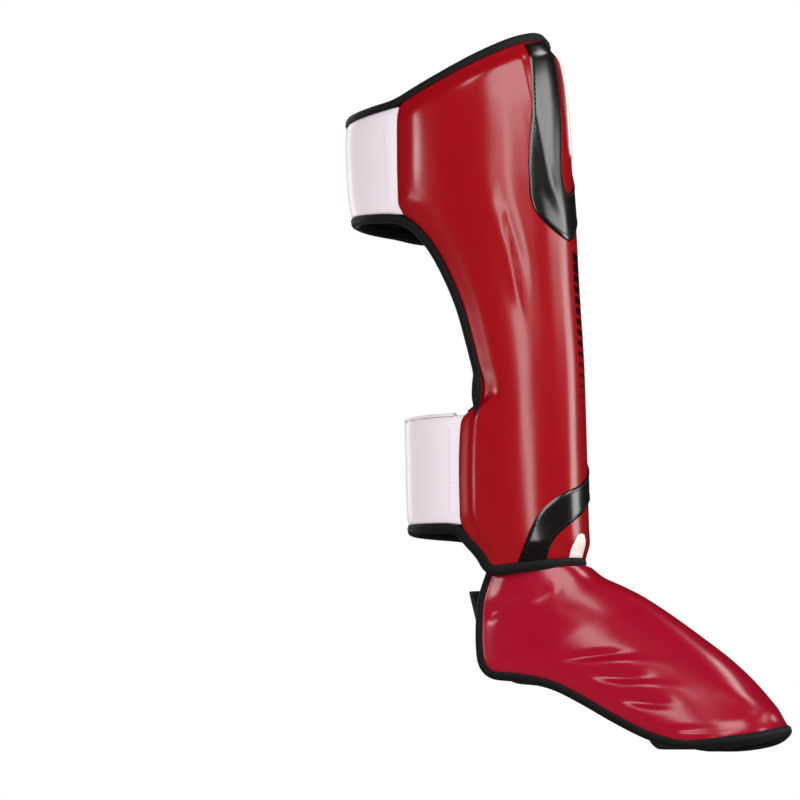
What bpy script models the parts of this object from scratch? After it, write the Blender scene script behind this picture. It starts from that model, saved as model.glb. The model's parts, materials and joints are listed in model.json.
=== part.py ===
"""One muay thai shin guard of a mirrored pair: a padded shin shell, two wrap straps and a padded instep flap.

Metres. +Z is up the leg and +X is the way that the shin faces. The origin is on the leg's axis, half way up
the shin. The straps are sewn on the -Y side, and their hook and loop closure is on the +Y side.
"""

import math

import bmesh
import bpy
import numpy as np

# Overall sizes
SHIN_LENGTH = 0.360        # front of the shell, ankle seam to top rim
GUARD_DEPTH = 0.150        # front to back through the upper strap
GUARD_WIDTH = 0.132        # across the shell at the upper strap
ORIGIN_HEIGHT = 0.190      # leg mount above the ankle seam
FOOT_REACH = 0.2205        # leg axis to the tip of the instep flap
FOOT_DROP = 0.1205         # ankle seam down to the lowest hem
FOOT_WIDTH = 0.124         # across the instep flap at the toes

# Padding, skins and trim
PAD_FRONT = 0.020
PAD_SIDE = 0.012
PAD_EDGE = 0.0065
PAD_REACH = 0.026          # distance from a rim over which the padding comes to full thickness
EDGE_ROLL = 0.0040         # how far the outer face turns in at a rim
ROLL_REACH = 0.014
LINING = 0.0015
FOOT_PAD = 0.011
FOOT_EDGE = 0.0060
BINDING_WIDTH = 0.0055
BINDING_OVER = 0.0010      # how far the binding stands proud of the rim's two faces
STRAP = 0.0030
ELASTIC = 0.0022
PANEL = 0.0010
GAP = 0.0003
PANEL_GAP = 0.0010

# Plan sections of the leg side by side with the shell, as shares of SHIN_LENGTH, GUARD_DEPTH and GUARD_WIDTH
# height, front of the shell, back of the leg, half width
SECTIONS = (
    (-0.03, 0.574, -0.237, 0.402),
    (0.00, 0.574, -0.243, 0.408),
    (0.09, 0.562, -0.262, 0.424),
    (0.22, 0.555, -0.268, 0.434),
    (0.38, 0.544, -0.310, 0.440),
    (0.54, 0.522, -0.420, 0.462),
    (0.65, 0.508, -0.520, 0.486),
    (0.74, 0.493, -0.540, 0.498),
    (0.86, 0.477, -0.545, 0.500),
    (0.91, 0.465, -0.545, 0.490),
    (0.97, 0.437, -0.545, 0.470),
    (1.02, 0.392, -0.545, 0.448),
)

# Half of a plan section: share of the depth back from the front, share of the half width
PROFILE = (
    (0.000, 0.00),
    (0.022, 0.42),
    (0.165, 0.82),
    (0.400, 1.00),
    (0.700, 0.90),
    (0.930, 0.52),
    (1.000, 0.00),
)

# Rear rim of the shell: height as a share of SHIN_LENGTH, place as a share of GUARD_DEPTH forward of the axis
REAR_RIM = (
    (0.005, 0.186),
    (0.030, 0.160),
    (0.054, 0.104),
    (0.074, 0.062),
    (0.104, 0.036),
    (0.160, 0.034),
    (0.205, 0.036),
    (0.245, 0.041),
    (0.278, 0.052),
    (0.298, 0.108),
    (0.311, 0.158),
    (0.340, 0.160),
    (0.385, 0.136),
    (0.430, 0.108),
    (0.475, 0.078),
    (0.512, 0.046),
    (0.548, 0.006),
    (0.584, -0.040),
    (0.616, -0.094),
    (0.645, -0.166),
    (0.662, -0.222),
    (0.678, -0.241),
    (0.725, -0.243),
    (0.780, -0.243),
    (0.810, -0.243),
    (0.836, -0.240),
    (0.854, -0.229),
    (0.866, -0.205),
)
TOP_RIM_HEIGHT = 0.90833 * SHIN_LENGTH    # top rim above the ankle seam on the leg's axis
TOP_RIM_SLOPE = 0.498
BOTTOM_RIM_HEIGHT = -0.0016
BOTTOM_RIM_SLOPE = 0.126

# Columns of the shell: distances round the front, then shares of what is left to the rear rim
FRONT_COLUMNS = (0.0, 0.0095, 0.0190, 0.0270, 0.0360, 0.0460, 0.0570)
SIDE_COLUMNS = (0.20, 0.40, 0.60, 0.79, 0.92, 1.00)
COLUMNS = 2 * (len(FRONT_COLUMNS) + len(SIDE_COLUMNS) - 1)

# Straps: bottom, top, slope forward of the bottom and of the top, how far the free end laps over the far side
UPPER_STRAP = (0.6500 * SHIN_LENGTH, 0.8694 * SHIN_LENGTH, -0.090, 0.120, 0.045)
LOWER_STRAP = (0.0861 * SHIN_LENGTH, 0.2861 * SHIN_LENGTH, -0.040, 0.000, 0.042)
STRAP_BINDING = 0.0045

# Instep flap ribs. Top and hem points as shares of FOOT_REACH forward of the axis and of FOOT_DROP below the
# ankle seam, then half width as a share of FOOT_WIDTH, and how early the rib dips
# top forward, top drop, hem forward, hem drop, half width, dip
RIBS = (
    (0.388, -0.0253, 0.127, 0.0357, 0.355, 1.00),
    (0.435, 0.018, 0.098, 0.183, 0.365, 1.00),
    (0.494, 0.068, 0.095, 0.349, 0.370, 1.00),
    (0.549, 0.120, 0.100, 0.477, 0.375, 1.00),
    (0.599, 0.178, 0.130, 0.544, 0.382, 1.00),
    (0.662, 0.258, 0.205, 0.556, 0.392, 0.95),
    (0.737, 0.360, 0.297, 0.589, 0.408, 0.88),
    (0.812, 0.466, 0.398, 0.675, 0.430, 0.80),
    (0.880, 0.582, 0.500, 0.780, 0.456, 0.72),
    (0.934, 0.695, 0.602, 0.872, 0.480, 0.66),
    (0.970, 0.780, 0.672, 0.912, 0.492, 0.63),
    (0.990, 0.826, 0.718, 0.925, 0.496, 0.62),
)
FOOT_COLUMNS = 16
FOOT_SQUARE = 2.5          # power of the ribs' rounding: 2 is an ellipse, more is squarer

HEEL_STRAP_TALL = 0.021
HEEL_STRAP_TOP = -0.0120
SOLE_STRAP_FRONT = 0.166
SOLE_STRAP_BACK = 0.132

# Panels on the front, as two edges of (distance round from the front centre, height above the ankle seam).
# Distances are millimetres, positive on the closure's side, and heights are thousandths of SHIN_LENGTH
UPPER_BAND = (
    ((-15, 972), (-17, 917), (-19, 833), (-22, 744), (-15, 706), (9, 728), (24, 756), (34, 797), (46, 850),
     (52, 894), (57, 922)),
    ((-42, 956), (-47, 911), (-51, 833), (-55, 728), (-50, 656), (-20, 614), (8, 647), (30, 681), (43, 722),
     (54, 806), (64, 900)),
)
LOWER_BAND = (
    ((66, 278), (50, 256), (36, 233), (20, 211), (3, 186), (-18, 161), (-38, 142), (-54, 111), (-62, 72), (-66, 18)),
    ((66, 183), (50, 172), (36, 164), (24, 156), (13, 139), (-8, 117), (-28, 92), (-41, 69), (-48, 47), (-50, 21)),
)
TOP_PATCH = (
    ((10, 983), (9, 931), (5, 867), (2, 811), (4, 789), (10, 781)),
    ((46, 961), (39, 931), (31, 867), (21, 811), (17, 789), (11, 781)),
)
HEM_PATCH = (
    ((-6, 31), (-6.5, 44), (-9, 58), (-13, 69), (-16, 72)),
    ((-29, 31), (-28.5, 44), (-26, 58), (-22, 69), (-17, 72)),
)

# name: colour, roughness, clear coat
FINISHES = {
    "red_leather": ((0.330, 0.0045, 0.018), 0.28, 0.6),
    "black_gloss_leather": ((0.008, 0.007, 0.006), 0.26, 0.6),
    "white_leather": ((0.760, 0.720, 0.740), 0.42, 0.2),
    "black_lining_cloth": ((0.010, 0.009, 0.009), 0.90, 0.0),
    "black_binding_tape": ((0.009, 0.008, 0.007), 0.62, 0.0),
    "black_elastic": ((0.012, 0.011, 0.011), 0.78, 0.0),
}


def clear_scene():
    """Removes what the startup scene holds."""
    for obj in list(bpy.data.objects):
        bpy.data.objects.remove(obj, do_unlink=True)


def finish(name):
    """The material of that name, made once."""
    found = bpy.data.materials.get(name)
    if found:
        return found
    colour, roughness, coat = FINISHES[name]
    material = bpy.data.materials.new(name)
    material.use_nodes = True
    shader = material.node_tree.nodes["Principled BSDF"]
    shader.inputs["Base Color"].default_value = (*colour, 1)
    shader.inputs["Roughness"].default_value = roughness
    shader.inputs["Coat Weight"].default_value = coat
    return material


def add_object(name, points, faces, finish_name):
    """A mesh object from these points, dropped so that the leg mount is the origin."""
    mesh = bpy.data.meshes.new(name)
    lowered = [(x, y, z - ORIGIN_HEIGHT) for x, y, z in points]
    mesh.from_pydata(lowered, [], faces)
    work = bmesh.new()
    work.from_mesh(mesh)
    bmesh.ops.recalc_face_normals(work, faces=work.faces)
    if work.calc_volume(signed=True) < 0:
        bmesh.ops.reverse_faces(work, faces=work.faces)
    bmesh.ops.triangulate(work, faces=work.faces)
    work.to_mesh(mesh)
    work.free()
    mesh.materials.append(finish(finish_name))
    mesh.shade_smooth()
    mesh.set_sharp_from_angle(angle=math.radians(50))
    obj = bpy.data.objects.new(name, mesh)
    bpy.context.scene.collection.objects.link(obj)
    return obj


def smooth_step(share):
    """0 to 1 with level ends."""
    share = min(1.0, max(0.0, share))
    return share * share * (3 - 2 * share)


def spline(points, count):
    """count points on a smooth curve through these points, ends included."""
    given = np.asarray(points, float)
    given = np.vstack([2 * given[0] - given[1], given, 2 * given[-1] - given[-2]])
    found = []
    for place in np.linspace(0, len(points) - 1 - 1e-9, count):
        k = int(place)
        t = place - k
        a, b, c, d = given[k : k + 4]
        found.append(
            0.5 * (2 * b + (c - a) * t + (2 * a - 5 * b + 4 * c - d) * t**2 + (3 * b - a - 3 * c + d) * t**3)
        )
    return np.array(found)


class Leg:
    """Plan sections at any height, with points found by their distance round from the front centre."""

    def __init__(self):
        self.made = {}
        self.rows = np.array(SECTIONS)

    def half(self, height):
        """Points and distances of half a section, front centre to back centre, on the closure's side."""
        key = round(height, 5)
        if key not in self.made:
            shares = [np.interp(height / SHIN_LENGTH, self.rows[:, 0], self.rows[:, k]) for k in (1, 2, 3)]
            front, back = shares[0] * GUARD_DEPTH, shares[1] * GUARD_DEPTH
            half_width = shares[2] * GUARD_WIDTH
            whole = [(front - d * (front - back), w * half_width) for d, w in PROFILE]
            left = [(x, -y) for x, y in whole[1:3]][::-1]
            right = [(x, -y) for x, y in whole[-3:-1]][::-1]
            curve = spline(left + whole + right, (len(left + whole + right) - 1) * 24 + 1)
            first, last = 2 * 24, (len(left + whole) - 1) * 24
            points = curve[first : last + 1]
            points[0, 1] = points[-1, 1] = 0
            steps = np.linalg.norm(np.diff(points, axis=0), axis=1)
            self.made[key] = (points, np.concatenate([[0], np.cumsum(steps)]))
        return self.made[key]

    def length(self, height):
        """Half the way round."""
        return self.half(height)[1][-1]

    def point(self, height, distance, offset=0.0):
        """A point this far round from the front centre, moved outwards by offset."""
        points, along = self.half(height)
        total = along[-1]
        side = 1.0 if distance >= 0 else -1.0
        far = abs(distance)
        if far > total:
            far = 2 * total - far
            side = -side
        before = max(0.0, far - 0.001)
        after = min(total, far + 0.001)
        x, y = (np.interp(far, along, points[:, k]) for k in (0, 1))
        dx, dy = (
            np.interp(after, along, points[:, k]) - np.interp(before, along, points[:, k]) for k in (0, 1)
        )
        size = math.hypot(dx, dy)
        nx, ny = dy / size, -dx / size
        return x + nx * offset, side * (y + ny * offset)

    def distance_at(self, height, forward):
        """How far round the section reaches this far forward of the axis, on its way back."""
        points, along = self.half(height)
        return float(np.interp(-forward, -points[:, 0], along))


class Shell:
    """The outer and inner faces of the shin shell, by share round (-1 to 1) and share up (0 to 1)."""

    def __init__(self, leg):
        self.leg = leg
        ups, reaches, heights = [], [], []
        for height_share, forward_share in REAR_RIM:
            height, forward = height_share * SHIN_LENGTH, forward_share * GUARD_DEPTH
            bottom, top = self.rims(forward)
            ups.append(min(1.0, max(0.0, (height - bottom) / (top - bottom))))
            reaches.append(leg.distance_at(height, forward))
            heights.append(height)
        ups[0], ups[-1] = 0.0, 1.0
        self.ups = np.array(ups)
        self.reaches = np.array(reaches)
        self.heights = np.array(heights)
        self.outer = []

    @staticmethod
    def rims(forward):
        """Heights of the bottom and the top rim this far forward."""
        return BOTTOM_RIM_HEIGHT + BOTTOM_RIM_SLOPE * forward, TOP_RIM_HEIGHT + TOP_RIM_SLOPE * forward

    def reach(self, up):
        """Distance round from the front centre to the rear rim."""
        return float(np.interp(up, self.ups, self.reaches))

    def reach_at(self, height):
        """The same, by the height at the rear rim."""
        return float(np.interp(height, self.heights, self.reaches))

    def height(self, distance, up):
        """Height of the point this far round and this share up."""
        height = up * SHIN_LENGTH
        for _ in range(8):
            forward, _side = self.leg.point(height, distance)
            bottom, top = self.rims(forward)
            height = bottom + up * (top - bottom)
        return height

    def point(self, distance, up, depth=0.0):
        """A point this far in from the outer face."""
        height = self.height(distance, up)
        forward, _side = self.leg.point(height, distance)
        bottom, top = self.rims(forward)
        rim = min(self.reach(up) - abs(distance), height - bottom, top - height)
        roll = EDGE_ROLL * (1 - smooth_step(rim / ROLL_REACH))
        x, y = self.leg.point(height, distance, -roll - depth)
        return x, y, height

    def thickness(self, distance, up):
        """Padding between the faces."""
        height = self.height(distance, up)
        forward, _side = self.leg.point(height, distance)
        bottom, top = self.rims(forward)
        rim = min(self.reach(up) - abs(distance), height - bottom, top - height)
        full = PAD_FRONT + (PAD_SIDE - PAD_FRONT) * smooth_step((abs(distance) - 0.045) / 0.030)
        return PAD_EDGE + (full - PAD_EDGE) * smooth_step(rim / PAD_REACH)

    def columns(self, up):
        """Distances round of the columns at this share up."""
        start, reach = FRONT_COLUMNS[-1], self.reach(up)
        half = list(FRONT_COLUMNS[1:]) + [start + share * (reach - start) for share in SIDE_COLUMNS]
        return [-d for d in half[::-1]] + [0.0] + half

    def grid(self, ups, depth):
        """Rows of points. depth is a number, or a function of distance and share up."""
        rows = []
        for up in ups:
            row = []
            for distance in self.columns(up):
                deep = depth(distance, up) if callable(depth) else depth
                row.append(self.point(distance, up, deep))
            rows.append(row)
        return rows

    def facet_point(self, distance, height, out):
        """A point on the flat facets of the outer face, moved outwards by out."""
        up = self.up_at(distance, height)
        if not self.outer:
            self.outer = np.array(self.grid(self.ups, 0.0)).tolist()
        grid = np.array(self.outer)
        row = float(np.interp(up, self.ups, range(len(self.ups))))
        column = float(np.interp(distance, self.columns(up), range(COLUMNS + 1)))
        r, c = min(int(row), len(self.ups) - 2), min(int(column), COLUMNS - 1)
        v, u = row - r, column - c
        a, b, d, e = grid[r, c], grid[r, c + 1], grid[r + 1, c], grid[r + 1, c + 1]
        if u > v:
            place, normal = a + (b - a) * u + (e - b) * v, np.cross(b - a, e - b)
        else:
            place, normal = a + (e - d) * u + (d - a) * v, np.cross(e - d, d - a)
        normal = normal / np.linalg.norm(normal)
        return tuple(place + normal * (out if normal[0] > 0 else -out))

    def up_at(self, distance, height):
        """Share up of a height above the ankle seam, this far round."""
        forward, _side = self.leg.point(height, distance)
        bottom, top = self.rims(forward)
        return (height - bottom) / (top - bottom)


def slab(name, outer, inner, finish_name):
    """A closed solid between two grids of points with the same rows and columns."""
    rows, columns = len(outer), len(outer[0])
    points = [p for row in outer for p in row] + [p for row in inner for p in row]
    across = rows * columns
    faces = []
    for r in range(rows - 1):
        for c in range(columns - 1):
            a = r * columns + c
            b, d, e = a + 1, a + columns, a + columns + 1
            faces += [(a, b, e), (a, e, d)]
            faces += [(across + a, across + e, across + b), (across + a, across + d, across + e)]
    ring = [c for c in range(columns)]
    ring += [r * columns + columns - 1 for r in range(1, rows)]
    ring += [(rows - 1) * columns + c for c in range(columns - 2, -1, -1)]
    ring += [r * columns for r in range(rows - 2, 0, -1)]
    for a, b in zip(ring, ring[1:] + ring[:1]):
        faces.append((a, across + a, across + b, b))
    return add_object(name, points, faces, finish_name)


def bead(name, outer, inner, width, over, finish_name):
    """A binding along a rim, given the rim's points on the outer and on the inner face. It starts a gap off."""
    top, bottom = np.array(outer, float), np.array(inner, float)
    middle = (top + bottom) / 2
    thick = top - bottom
    half = np.linalg.norm(thick, axis=1) / 2 + over
    thick = thick / np.linalg.norm(thick, axis=1)[:, None]
    along = np.gradient(middle, axis=0)
    for k in range(1, len(middle) - 1):
        before, after = middle[k] - middle[k - 1], middle[k + 1] - middle[k]
        along[k] = before / np.linalg.norm(before) + after / np.linalg.norm(after)
    along = along / np.linalg.norm(along, axis=1)[:, None]
    out = np.cross(along, thick)
    out = out / np.linalg.norm(out, axis=1)[:, None]
    shape = ((0.0, -1.0), (0.60, -1.0), (1.0, -0.45), (1.0, 0.45), (0.60, 1.0), (0.0, 1.0))
    points = []
    for k in range(len(middle)):
        for reach, side in shape:
            points.append(middle[k] + out[k] * (GAP + reach * width) + thick[k] * side * half[k])
    count = len(shape)
    faces = [tuple(range(count)), tuple(range(len(points) - 1, len(points) - count - 1, -1))]
    for k in range(len(middle) - 1):
        for j in range(count):
            a, b = k * count + j, k * count + (j + 1) % count
            faces.append((a, b, b + count, a + count))
    return add_object(name, points, faces, finish_name)


def build_shell(shell):
    """The padded shell, its lining and the bindings round its rim."""
    outer = shell.grid(shell.ups, 0.0)
    inner = shell.grid(shell.ups, shell.thickness)
    slab("shin_shell", outer, inner, "red_leather")

    skin_outer = shell.grid(shell.ups, lambda d, u: shell.thickness(d, u) + GAP)
    back = shell.grid(shell.ups, lambda d, u: shell.thickness(d, u) + GAP + LINING)
    slab("shin_lining", skin_outer, back, "black_lining_cloth")
    last = len(shell.ups) - 1
    heights = shell.heights

    def row_near(height):
        return int(np.argmin(np.abs(heights - height)))

    def rim(grid, pieces):
        return [grid[r][c] for r, c in pieces]

    end = COLUMNS
    low_end = row_near(LOWER_STRAP[0] - 0.002)
    low_start, low_stop = row_near(LOWER_STRAP[1] + 0.003), row_near(UPPER_STRAP[0] - 0.003)
    ankle = [(r, end) for r in range(low_end, 0, -1)]
    ankle += [(0, c) for c in range(end, -1, -1)]
    ankle += [(r, 0) for r in range(1, low_end + 1)]
    top = [(last, c) for c in range(0, end + 1)]
    near = [(r, 0) for r in range(low_start, low_stop + 1)]
    far = [(r, end) for r in range(low_stop, low_start - 1, -1)]
    for name, pieces in (
        ("ankle_binding", ankle),
        ("top_binding", top),
        ("rear_binding_sewn_side", near),
        ("rear_binding_closure_side", far),
    ):
        pieces = pieces[::-1]
        bead(name, rim(outer, pieces), rim(back, pieces), BINDING_WIDTH, BINDING_OVER, "black_binding_tape")


def build_strap(name, shell, sizes):
    """One wrap strap: sewn behind the near ear, round the calf, lapped over the far ear. Skin, lining, edges."""
    bottom, top, bottom_slope, top_slope, lap = sizes
    leg = shell.leg
    heights = (bottom, top)
    widest = max(shell.reach_at(h) for h in np.linspace(bottom, top, 9))
    lift = STRAP + GAP * 8 + LINING

    def path(height):
        """Distances round, and how far out the strap's outer face stands there."""
        reach = max(shell.reach_at(height), widest - 0.001)
        total = leg.length(height)
        start, stop = -(reach + GAP * 5), -(2 * total - (reach - lap))
        found = []
        for share in np.linspace(0, 1, 19):
            distance = start + share * (stop - start)
            to_ear = (2 * total - abs(distance)) - reach
            rise = smooth_step(1 - (to_ear - 0.004) / 0.024)
            found.append((distance, -EDGE_ROLL + (EDGE_ROLL + lift) * rise))
        return found

    def face(depth, rows=heights):
        grid = []
        for height in rows:
            row = []
            for distance, outward in path(height):
                share = (height - bottom) / (top - bottom)
                x, y = leg.point(height, distance, outward - depth)
                slope = bottom_slope + share * (top_slope - bottom_slope)
                row.append((x, y, height + slope * x))
            grid.append(row)
        return grid

    outer, inner = face(0.0), face(STRAP)
    slab(name, outer, inner, "white_leather")
    skin_outer, skin_inner = face(STRAP + GAP * 2), face(STRAP + GAP * 2 + LINING)
    slab(name + "_lining", skin_outer, skin_inner, "black_lining_cloth")
    over = 0.0002
    low_outer, low_inner = outer[0][::-1], skin_inner[0][::-1]
    bead(name + "_top_binding", outer[-1], skin_inner[-1], STRAP_BINDING, over, "black_binding_tape")
    bead(name + "_bottom_binding", low_outer, low_inner, STRAP_BINDING, over, "black_binding_tape")


class Foot:
    """The instep flap: ribs from the ankle to the toes, each rounded over the foot from hem to hem."""

    def __init__(self):
        self.ribs = np.array(RIBS)

    def point(self, along, share):
        """Along 0 (ankle) to 1 (toes), share -1 (near hem) to 1 (far hem)."""
        place = along * (len(self.ribs) - 1)
        top_x, top_z, hem_x, hem_z, half, dip = (
            np.interp(place, range(len(self.ribs)), self.ribs[:, k]) for k in range(6)
        )
        angle = abs(share) * math.pi / 2
        power = 2 / FOOT_SQUARE
        down = 1 - max(0.0, math.cos(angle)) ** power
        side = math.sin(angle) ** power
        x = FOOT_REACH * (top_x + (hem_x - top_x) * down)
        z = -FOOT_DROP * (top_z + (hem_z - top_z) * down**dip)
        return np.array([x, math.copysign(side, share) * half * FOOT_WIDTH, z])

    def rib(self, along, columns):
        """Points of one rib, evenly spaced from hem to hem."""
        dense = np.array([self.point(along, s) for s in np.linspace(-1, 1, 201)])
        steps = np.linalg.norm(np.diff(dense, axis=0), axis=1)
        far = np.concatenate([[0], np.cumsum(steps)])
        wanted = np.linspace(0, far[-1], columns + 1)
        return np.array([[np.interp(w, far, dense[:, k]) for k in range(3)] for w in wanted]), far[-1]

    def grids(self, depths):
        """Grids at these depths in from the outer face. A depth is a share of the padding and a length."""
        alongs = np.linspace(0, 1, len(self.ribs) + 1)
        ribs = [self.rib(a, FOOT_COLUMNS) for a in alongs]
        face = np.array([points for points, _length in ribs])
        rise = np.gradient(face, axis=0)
        round_ = np.gradient(face, axis=1)
        normal = np.cross(rise, round_)
        normal /= np.linalg.norm(normal, axis=2)[:, :, None]
        middle = normal[len(face) // 2, FOOT_COLUMNS // 2]
        if middle[0] + middle[2] < 0:
            normal = -normal
        run = np.linalg.norm(np.diff(face[:, FOOT_COLUMNS // 2], axis=0), axis=1)
        down = np.concatenate([[0], np.cumsum(run)])
        found = []
        for pad_share, deep in depths:
            grid = []
            for r, (points, length) in enumerate(ribs):
                row = []
                for c in range(FOOT_COLUMNS + 1):
                    rim = min(c, FOOT_COLUMNS - c) * length / FOOT_COLUMNS
                    rim = min(rim, down[-1] - down[r])
                    roll = 0.6 * EDGE_ROLL * (1 - smooth_step(rim / ROLL_REACH))
                    pad = FOOT_EDGE + (FOOT_PAD - FOOT_EDGE) * smooth_step(rim / PAD_REACH)
                    move = roll * 0.5 + pad_share * pad + deep
                    row.append(tuple(points[c] - normal[r, c] * move))
                grid.append(row)
            found.append(grid)
        return found


def build_foot(foot):
    """The padded flap, its lining and the binding along its sides and toes."""
    skin_depth = GAP * 2
    outer, inner, skin_outer, skin_inner = foot.grids(
        ((0, 0), (1, 0), (1, skin_depth), (1, skin_depth + LINING))
    )
    slab("foot_shell", outer, inner, "red_leather")
    slab("foot_lining", skin_outer, skin_inner, "black_lining_cloth")
    last, end = len(outer) - 1, FOOT_COLUMNS
    pieces = [(r, end) for r in range(0, last)]
    pieces += [(last, c) for c in range(end, -1, -1)]
    pieces += [(r, 0) for r in range(last - 1, -1, -1)]
    pieces = pieces[::-1]
    rim_outer = [outer[r][c] for r, c in pieces]
    rim_inner = [skin_inner[r][c] for r, c in pieces]
    bead("foot_binding", rim_outer, rim_inner, BINDING_WIDTH * 0.75, BINDING_OVER * 0.6, "black_binding_tape")


def build_panel(name, shell, edges, finish_name, along, across):
    """A thin inlaid panel that follows the shell's outer face between two edges."""
    first, second = (spline(edge, along + 1) * (0.001, 0.001 * SHIN_LENGTH) for edge in edges)
    outer, inner = [], []
    for a, b in zip(first, second):
        tops, bottoms = [], []
        for share in np.linspace(0, 1, across + 1):
            distance, height = a + (b - a) * share
            tops.append(shell.facet_point(distance, height, PANEL_GAP + PANEL))
            bottoms.append(shell.facet_point(distance, height, PANEL_GAP))
        outer.append(tops)
        inner.append(bottoms)
    slab(name, outer, inner, finish_name)


def build_heel_strap():
    """The elastic behind the ankle, from inside one rear edge of the flap to the other."""
    inside = 0.355 * FOOT_WIDTH - FOOT_EDGE - LINING - BINDING_OVER - GAP * 6
    half = [(0.036, -inside + 0.0027), (0.024, -inside + 0.0017), (0.014, -inside + 0.0044), (0.0104, -0.018)]
    route = half + [(0.0090, 0.0)] + [(x, -y) for x, y in half[::-1]]
    curve = spline(route, 19)
    along = np.gradient(curve, axis=0)
    side = np.stack([along[:, 1], -along[:, 0]], axis=1)
    side /= np.linalg.norm(side, axis=1)[:, None]
    outer, inner = [], []
    for height in (HEEL_STRAP_TOP - HEEL_STRAP_TALL, HEEL_STRAP_TOP):
        outer.append([(x, y, height) for x, y in curve])
        inner.append([(x, y, height) for x, y in curve - side * ELASTIC])
    slab("heel_strap", outer, inner, "black_elastic")


def build_sole_strap():
    """The elastic under the ball of the foot, between the two lower edges of the flap."""
    inside = 0.49 * FOOT_WIDTH - FOOT_EDGE - LINING - BINDING_OVER - GAP * 8
    hem = -0.925 * FOOT_DROP
    half = [(-inside + 0.0054, hem + 0.008), (-inside + 0.0058, hem + 0.003), (-inside + 0.012, hem - 0.001)]
    route = half + [(0.0, hem - 0.0045)] + [(-y, z) for y, z in half[::-1]]
    curve = spline(route, 19)
    along = np.gradient(curve, axis=0)
    side = np.stack([along[:, 1], -along[:, 0]], axis=1)
    side /= np.linalg.norm(side, axis=1)[:, None]
    outer, inner = [], []
    for forward in (SOLE_STRAP_BACK, SOLE_STRAP_FRONT):
        outer.append([(forward, y, z) for y, z in curve])
        inner.append([(forward, y, z) for y, z in curve - side * ELASTIC])
    slab("sole_strap", outer, inner, "black_elastic")


def main():
    clear_scene()
    leg = Leg()
    shell = Shell(leg)
    build_shell(shell)
    build_panel("upper_band", shell, UPPER_BAND, "black_gloss_leather", 28, 5)
    build_panel("lower_band", shell, LOWER_BAND, "black_gloss_leather", 18, 3)
    build_panel("top_patch", shell, TOP_PATCH, "white_leather", 10, 4)
    build_panel("hem_patch", shell, HEM_PATCH, "white_leather", 4, 3)
    build_strap("upper_strap", shell, UPPER_STRAP)
    build_strap("lower_strap", shell, LOWER_STRAP)
    build_foot(Foot())
    build_heel_strap()
    build_sole_strap()


main()
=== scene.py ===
"""Looks of one muay thai shin guard: padded leather, wrap straps, tape, elastics and studio.

Metres, +Z up the leg, +X the way that the shin faces, origin at the leg mount. The sewn side is -Y.
"""

import json
import logging
import math
from dataclasses import dataclass, field
from enum import Enum

import bmesh
import bpy
import numpy as np
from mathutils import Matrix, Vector
from mathutils.bvhtree import BVHTree

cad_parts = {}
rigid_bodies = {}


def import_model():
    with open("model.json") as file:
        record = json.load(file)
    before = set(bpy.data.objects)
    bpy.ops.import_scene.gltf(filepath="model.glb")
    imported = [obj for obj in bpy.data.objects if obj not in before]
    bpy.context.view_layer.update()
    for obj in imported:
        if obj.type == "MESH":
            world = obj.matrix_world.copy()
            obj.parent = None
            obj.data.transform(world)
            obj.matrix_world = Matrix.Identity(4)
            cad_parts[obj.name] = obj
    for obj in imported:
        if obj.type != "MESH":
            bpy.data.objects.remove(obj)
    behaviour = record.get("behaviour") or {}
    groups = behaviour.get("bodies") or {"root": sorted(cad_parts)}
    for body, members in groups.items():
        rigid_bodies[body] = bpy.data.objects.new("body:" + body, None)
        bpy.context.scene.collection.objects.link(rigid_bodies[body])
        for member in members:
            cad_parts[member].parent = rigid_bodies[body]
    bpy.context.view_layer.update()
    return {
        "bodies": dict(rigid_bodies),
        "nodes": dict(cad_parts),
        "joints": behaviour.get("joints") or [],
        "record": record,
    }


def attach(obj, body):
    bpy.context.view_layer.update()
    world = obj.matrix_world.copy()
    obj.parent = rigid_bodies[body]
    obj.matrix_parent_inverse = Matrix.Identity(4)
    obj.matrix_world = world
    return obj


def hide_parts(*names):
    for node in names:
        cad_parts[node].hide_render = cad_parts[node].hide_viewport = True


LOG = logging.getLogger("shin_guard")
MM = 0.001
ORIGIN_HEIGHT = 0.190


# Small shared tools


def linear(code: str) -> tuple[float, float, float, float]:
    """Turns an sRGB hex value into linear colour.

    Args:
        code: six hex digits.

    Returns:
        Red, green, blue and alpha.
    """
    parts = [int(code[k : k + 2], 16) / 255 for k in (0, 2, 4)]
    return (*[c / 12.92 if c <= 0.04045 else ((c + 0.055) / 1.055) ** 2.4 for c in parts], 1.0)


def smooth_step(share: np.ndarray | float) -> np.ndarray | float:
    """0 to 1 with level ends."""
    share = np.clip(share, 0.0, 1.0)
    return share * share * (3 - 2 * share)


def window(value: np.ndarray, low: float, rise: float, high: float, fall: float) -> np.ndarray:
    """1 from low + rise to high - fall, 0 outside low and high, with smooth slopes."""
    return smooth_step((value - low) / rise) * smooth_step((high - value) / fall)


def bump(value: np.ndarray, centre: np.ndarray | float, width: float) -> np.ndarray:
    """A soft hump of height 1 round centre."""
    return np.exp(-(((value - centre) / width) ** 2))


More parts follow.
